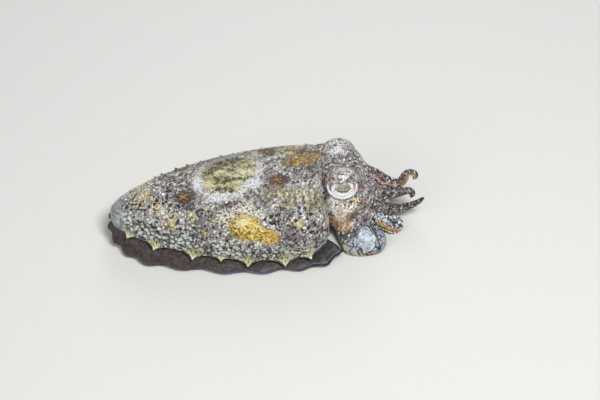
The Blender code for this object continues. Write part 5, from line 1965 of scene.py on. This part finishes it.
def head_colours(place, colour):
    """White cheeks mottled orange brown, a pale-browed top, and a red seam before the arms."""
    both = mirrored(swayed(place, 0.4, 2.2, 1.0))
    ragged = place.noise(0.8, 3.0, 0.7) - 0.5
    grain = place.noise(1.4, 4.0, 0.75)
    fine = place.noise(2.6, 2.0, 0.6)
    colour, brow, ash, brown = head_top(place, both, ragged, grain, fine, colour)
    colour, cheek = cheek_marks(place, both, ragged, grain, fine, colour)
    scrawl = place.noise(0.75, 3.0, 0.6).beside(0.5, 0.028, 0.010) * cheek.most(brow)
    colour = (scrawl * 0.75).mix(colour, tone(228, 228, 226))
    seam = abs(place.part(0) - SEAM_X + ragged * 2.4).fade(0.20, 0.06)
    seam = seam * place.noise(0.5, 1.0).fade(0.36, 0.52)
    colour = (seam * 0.35).mix(colour, tone(150, 88, 72))
    lids = noted(place, "lid").fade(0.35, 0.7)
    below = noted(place, "lid_low").fade(0.35, 0.65)
    white = fine.fade(0.32, 0.5).mix(tone(196, 192, 190), tone(240, 240, 242))
    above = (both.part(0) + ragged * 4.0).fade(26.5, 28.5).mix(brown, ash)
    colour = (lids * 0.9).mix(colour, below.mix(above, white))
    return eye_lines(place, both, ragged, fine, colour, lids, below)


# %% [markdown]
# ## Colours of the arms
#
# The arms are mottled black, white and rose, barred towards their tips, and edged
# with orange along their keels. The third arms are blades with pale panels between
# dark cracks. The spread lowest arms have the same panels, larger, and a cream rim.

# %% Colours of the arms
# The orange keel of the arm behind, the orange line of the blade and its pale foot
LONG_KEEL = ((33.6, 2.1, 15.9), (35.2, 2.6, 14.3), (38.4, 2.1, 12.1), (41.7, 1.6, 9.4), (43.9, 1.4, 8.5),
             (46, 1, 9.1))
BLADE_LINE = ((38.6, -7.0, 4.8), (40.4, -7.9, 3.4), (43.4, -8.9, 2.2), (46.0, -9.0, 1.6))
BLADE_FOOT = ((39.4, -7.9, 3.9), (41.4, -9.0, 2.2), (43.6, -9.7, 1.2), (46.0, -9.7, 0.9))


def blade_panels(place, near, ragged, grain):
    """Pale panels between dark cracks, full of grit."""
    tones = grain.ramp((0.38, tone(66, 62, 66)), (0.47, tone(138, 142, 148)), (0.58, tone(212, 216, 222)))
    panel = (near.cells(0.5, feature="DISTANCE_TO_EDGE") + ragged * 0.16).fade(0.04, 0.10)
    panel = panel.mix(tone(58, 48, 48), tones)
    return grit(place, panel, tone(224, 227, 231), tone(38, 29, 30), 0.20, 0.52, 1.3)


def arm_ground(place, along, blade):
    """Fine black, white and rose mottling, the blades' panels, and dark bars at the tips."""
    ragged = place.noise(0.9, 2.0, 0.6) - 0.5
    near = swayed(place, 0.8, 1.3)
    grain = place.noise(1.35, 4.0, 0.75)
    colour = grain.ramp((0.42, tone(34, 27, 27)), (0.48, tone(84, 75, 73)), (0.55, tone(132, 126, 125)),
                        (0.63, tone(206, 207, 208)))
    rose = place.noise(0.6, 2.0).fade(0.50, 0.62)
    colour = (rose * 0.3).mix(colour, tone(140, 108, 98))
    colour = grit(place, colour, tone(208, 210, 212), tone(32, 24, 26), 0.26, 0.52, 1.2)
    panels = blade_panels(place, near, ragged, grain)
    colour = (blade * (along.fade(0.0, 0.12) * 0.3 + 0.62)).mix(colour, panels)
    stripe = near.part(0) * 0.9 + near.part(2) * 0.6 + ragged * 0.6
    bars = stripe.node("Math", {"operation": "PINGPONG"}, {0: stripe, 1: 0.5}).fade(0.30, 0.20)
    tips = along.fade(0.42, 0.6) * (1 - blade)
    return (bars * tips * 0.75).mix(colour, tone(46, 36, 38)), ragged


def arm_colours(place):
    """The mottled ground with orange keels, the blade's lines and a paler inner side."""
    along = noted(place, "arm_along")
    face = noted(place, "arm_face")
    blade = noted(place, "blade").fade(0.3, 0.7)
    colour, ragged = arm_ground(place, along, blade)
    keel = face.fade(0.965, 0.998) * along.fade(0.02, 0.08) * (1 - blade)
    keel = keel * place.noise(0.6, 1.0).fade(0.38, 0.48)
    colour = (keel * 0.35).mix(colour, tone(176, 112, 86))
    wavy = swayed(place, 0.7, 0.7)
    broken = place.noise(1.2, 2.0, 0.6).fade(0.30, 0.46) * 0.5 + 0.4
    colour = (stroke(wavy, LONG_KEEL).fade(0.24, 0.08) * broken).mix(colour, tone(212, 148, 118))
    rim = face.beside(-0.35, 0.30, 0.10) * along.fade(0.35, 0.6)
    colour = (rim * 0.75).mix(colour, tone(180, 116, 52))
    foot = blade * stroke(place, BLADE_FOOT).fade(0.75, 0.45)
    foot_colour = place.noise(2.0, 1.0).fade(0.42, 0.54).mix(tone(92, 84, 54), tone(190, 184, 126))
    colour = (foot * 0.9).mix(colour, foot_colour)
    line = blade * stroke(place + ragged * 0.4, BLADE_LINE).fade(0.30, 0.10) * broken
    colour = (line * 1.1).mix(colour, tone(200, 130, 58))
    inner = face.fade(-0.45, -0.75)
    return (inner * 0.7).mix(colour, tone(150, 146, 120))


# %% Colours of the lowest arms
# The large panel, and the painted shadow of the cheek over the flap's root: centre, radii
BIG_PANEL = ((35.0, -12.4, 4.0), (2.6, 3.7, 4.0))
FLAP_ROOT_SHADOW = ((30.6, -9.6, 4.4), (3.4, 2.8, 3.4))
LOBE_CRACK_X = 36.65


def flap_colours(place):
    """The broad lowest arms: large pale panels, black cracks, a cream dotted rim and a painted shadow at the
    root.
    """
    near = mirrored(swayed(place, 0.5, 1.3))
    ragged = place.noise(1.4, 2.0) - 0.5
    big = near.away(*BIG_PANEL) + ragged * 0.16 + (place.noise(0.45, 1.0) - 0.5) * 0.9
    small = (near + (0.4, 0.9, 0.0)).cells(0.48, feature="DISTANCE_TO_EDGE") + ragged * 0.14
    small = (small + big.fade(1.05, 0.95)).fade(0.085, 0.035)
    round_big = big.beside(1.02, 0.085, 0.03)
    lobe = abs(near.part(0) - LOBE_CRACK_X + near.part(1) * 0.12 + ragged * 1.2).fade(0.30, 0.10)
    crack = small.most(round_big).most(lobe)
    grain = place.noise(1.1, 4.0, 0.7)
    colour = grain.ramp((0.36, tone(98, 106, 116)), (0.48, tone(140, 149, 159)), (0.58, tone(174, 184, 194)),
                        (0.68, tone(208, 214, 220)))
    outer = big.fade(1.0, 1.25)
    colour = (outer * 0.45).mix(colour, tone(142, 146, 146))
    dots = (place + 2.0).cells(0.9).fade(0.24, 0.14) * place.noise(0.6, 1.0).fade(0.46, 0.56)
    colour = (dots * (0.35 + outer * 0.65)).mix(colour, tone(52, 44, 44))
    colour = crack.mix(colour, tone(34, 27, 26))
    rim = noted(place, "flap_out").fade(0.35, 0.75)
    dotted = place.noise(1.5, 1.0).fade(0.42, 0.56)
    rim_colour = dotted.mix(tone(84, 72, 46), tone(188, 186, 132))
    rim_front = dotted.mix(tone(78, 56, 44), tone(160, 110, 66))
    rim_colour = near.part(0).fade(33.5, 35.0).mix(rim_colour, rim_front)
    rim_colour = near.part(0).fade(38.0, 39.0).mix(rim_colour, tone(128, 134, 144))
    colour = (rim * 0.8).mix(colour, rim_colour)
    # Painted shadow: the cheek's shade over the flap's root, dark with pale grit
    root = (near.away(*FLAP_ROOT_SHADOW) + ragged * 0.9).fade(1.2, 0.7)
    root_shadow_colour = grit(place, tone(54, 44, 42), tone(206, 208, 208), DARK, 0.40, 0.2, 1.2)
    return (root * 0.9).mix(colour, root_shadow_colour)


# %% [markdown]
# ## One finish for the whole skin
#
# The notes that the skin carries say where it is head, arm, flap, fin or underside.
# Each note is a mask that lays its part's colours over the mantle's. Pale flecks also
# stand a little proud and dark spots lie a little deep, which the bump shows.

# %% The skin's finish
def underside_colours(place):
    """Plain and pale, with small soft spots."""
    colour = place.noise(0.9, 3.0, 0.6).fade(0.35, 0.65).mix(tone(158, 148, 144), tone(200, 194, 190))
    spots = place.cells(0.8).fade(0.2, 0.12)
    return (spots * 0.5).mix(colour, tone(120, 92, 92))


def dappled_skin():
    """The finish of the skin and of the points that grow from it."""
    made, shader, place = finish("dappled_skin", 0.42, 0.25, 0.2)
    region = place.noise(0.13, 2.0)
    colour, pale, dark = speckle(place, region * 1.0 - 0.07, region * -0.8 + 0.96)
    colour = mantle_marks(place, colour, dark)
    colour = mantle_edge(place, colour, dark)
    fin = noted(place, "fin").fade(0.35, 0.65)
    colour = noted(place, "under").fade(0.4, 0.9).mix(colour, underside_colours(place))
    colour = noted(place, "head").fade(0.3, 0.7).mix(colour, head_colours(place, colour))
    colour = noted(place, "arm").fade(0.3, 0.7).mix(colour, arm_colours(place))
    colour = noted(place, "flap").fade(0.3, 0.7).mix(colour, flap_colours(place))
    colour = fin.mix(colour, fin_colours(place))
    tip = noted(place, "tip").fade(0.35, 0.8)
    colour = (tip * 0.8).mix(colour, tone(204, 184, 104))
    feed(shader, "Base Color", colour)
    feed(shader, "Roughness", 0.36 + dark * 0.1 + place.noise(0.8, 1.0) * 0.12 + fin * 0.14)
    feed(shader, "Coat Weight", 0.25 - fin * 0.2)
    bumped(shader, pale * 0.6 + place.noise(1.6, 3.0, 0.6) * 1.2 - dark * 0.35, 0.11)
    return made


skin_finish = dappled_skin()
skin.data.materials.append(skin_finish)
papillae.data.materials.append(skin_finish)
print("skin nodes:", len(skin_finish.node_tree.nodes))

# %% [markdown]
# ## Finishes of the small pieces
#
# Ribs, tufts and suckers are too small for marks of their own, so a few tones mixed
# by noise are enough. The eyeball is silver with a tan field round the dark W of its
# pupil, and a full clear coat makes it look wet.

# %% Finishes of the small pieces
CREAM = tone(200, 196, 150)


def plain_tones(name, stops, pace, roughness, coat):
    """A finish with a few tones mixed by noise."""
    made, shader, place = finish(name, roughness, coat)
    grain = place.noise(pace, 3.0, 0.6)
    feed(shader, "Base Color", grain.ramp(*stops))
    bumped(shader, grain, 0.03)
    return made


rib_tones = ((0.3, tone(146, 140, 92)), (0.5, CREAM), (0.7, tone(218, 218, 192)))
rib_piece.data.materials.append(plain_tones("cream_ribs", rib_tones, 1.6, 0.42, 0.2))
tuft_tones = ((0.38, tone(92, 62, 30)), (0.5, tone(146, 102, 40)), (0.62, tone(178, 140, 66)))
tuft_piece.data.materials.append(plain_tones("orange_tufts", tuft_tones, 1.6, 0.5, 0.1))
cup_tones = ((0.3, tone(132, 116, 84)), (0.5, tone(184, 172, 124)), (0.7, tone(222, 216, 190)))
cup_finish = plain_tones("sucker_flesh", cup_tones, 2.0, 0.35, 0.3)
for cup_piece in cup_pieces:
    cup_piece.data.materials.append(cup_finish)

# %% The eye's finish
# Half length and half height of the silver ring, and how high its middle stands
EYE_RING = (2.75, 2.0)
EYE_RING_UP = 0.75


def eye_finish():
    """Silver ring, tan pupil field with the dark W at its foot, and painted shade in the crease round all."""
    made, shader, place = finish("eye_ball", 0.22, 1.0, 0.03)
    across = (noted(place, "gaze_along") - LID_MIDDLE[0]) * (1 / EYE_RING[0])
    high = (noted(place, "gaze_up") - EYE_RING_UP) * (1 / EYE_RING[1])
    around = across.node("Math", {"operation": "SQRT"}, {0: across * across + high * high})
    grain = place.noise(1.8, 3.0, 0.6)
    silver = grain.fade(0.35, 0.65).mix(tone(196, 190, 192), tone(242, 242, 246))
    field = grain.fade(0.35, 0.65).mix(tone(118, 110, 98), tone(168, 160, 146))
    colour = around.fade(0.78, 0.70).mix(silver, field)
    line = abs(noted(place, "pupil_line")).fade(0.17, 0.08) * around.fade(0.86, 0.78)
    colour = line.mix(colour, tone(16, 12, 12))
    # Painted shade: the ball darkens past its ring, where it sinks under the lids
    crease = around.fade(0.98, 1.06)
    feed(shader, "Base Color", crease.mix(colour, tone(34, 26, 28)))
    return made


eye_shine = eye_finish()
for eye in eyes:
    eye.data.materials.append(eye_shine)
print("finishes:", len(bpy.data.materials))

# %% [markdown]
# ## Camera, light and floor
#
# The photograph was taken from the animal's right, looking half down on it, so the
# camera stands there with a long lens. The light is soft and even, from large panels,
# over a plain pale floor.

# %% Camera
ELEVATION = math.radians(50)
AZIMUTH = math.radians(-6.5)
DISTANCE = 0.4
LENS = 88.8
CLIP_START = 0.01
# The camera is moved aside, so that the animal sits in the frame as in the photograph
MOVE_RIGHT = 0.01873
MOVE_UP = 0.0063
camera = bpy.data.objects.new("camera", bpy.data.cameras.new("camera"))
bpy.context.scene.collection.objects.link(camera)
camera.data.lens = LENS
camera.data.clip_start = CLIP_START
back = Vector((math.sin(AZIMUTH) * math.cos(ELEVATION), -math.cos(AZIMUTH) * math.cos(ELEVATION),
               math.sin(ELEVATION)))
camera.rotation_euler = back.to_track_quat("Z", "Y").to_euler()
axes = camera.rotation_euler.to_matrix()
camera.location = axes.col[0] * MOVE_RIGHT + axes.col[1] * MOVE_UP + back * DISTANCE
bpy.context.scene.camera = camera

# %% Floor and light
FLOOR_HALF = 3
FLOOR_TONE = (0.62, 0.61, 0.58, 1)
SKY_TONE = (0.85, 0.9, 1.0, 1)
SKY_STRENGTH = 0.3
corners = [(x * FLOOR_HALF, y * FLOOR_HALF, 0) for x, y in ((-1, -1), (1, -1), (1, 1), (-1, 1))]
floor_mesh = bpy.data.meshes.new("floor")
floor_mesh.from_pydata(corners, [], [(0, 1, 2, 3)])
floor = bpy.data.objects.new("floor", floor_mesh)
bpy.context.scene.collection.objects.link(floor)
pale = bpy.data.materials.new("pale_floor")
pale.use_nodes = True
pale.node_tree.nodes["Principled BSDF"].inputs["Base Color"].default_value = FLOOR_TONE
pale.node_tree.nodes["Principled BSDF"].inputs["Roughness"].default_value = 0.8
floor_mesh.materials.append(pale)


def light_panel(name, place, size, watts):
    """A round, soft light that faces the model."""
    light = bpy.data.lights.new(name, "AREA")
    light.shape = "DISK"
    light.size = size
    light.energy = watts
    lamp = bpy.data.objects.new(name, light)
    lamp.location = place
    lamp.rotation_euler = Vector(place).to_track_quat("Z", "Y").to_euler()
    bpy.context.scene.collection.objects.link(lamp)


light_panel("key_panel", (0.12, -0.16, 0.40), 0.16, 1.75)
light_panel("fill_panel", (-0.30, -0.22, 0.26), 0.30, 0.55)
light_panel("rim_panel", (0.05, 0.35, 0.25), 0.25, 0.5)
bpy.context.scene.view_settings.view_transform = "Standard"
world = bpy.data.worlds.new("studio")
bpy.context.scene.world = world
world.use_nodes = True
world.node_tree.nodes["Background"].inputs["Color"].default_value = SKY_TONE
world.node_tree.nodes["Background"].inputs["Strength"].default_value = SKY_STRENGTH
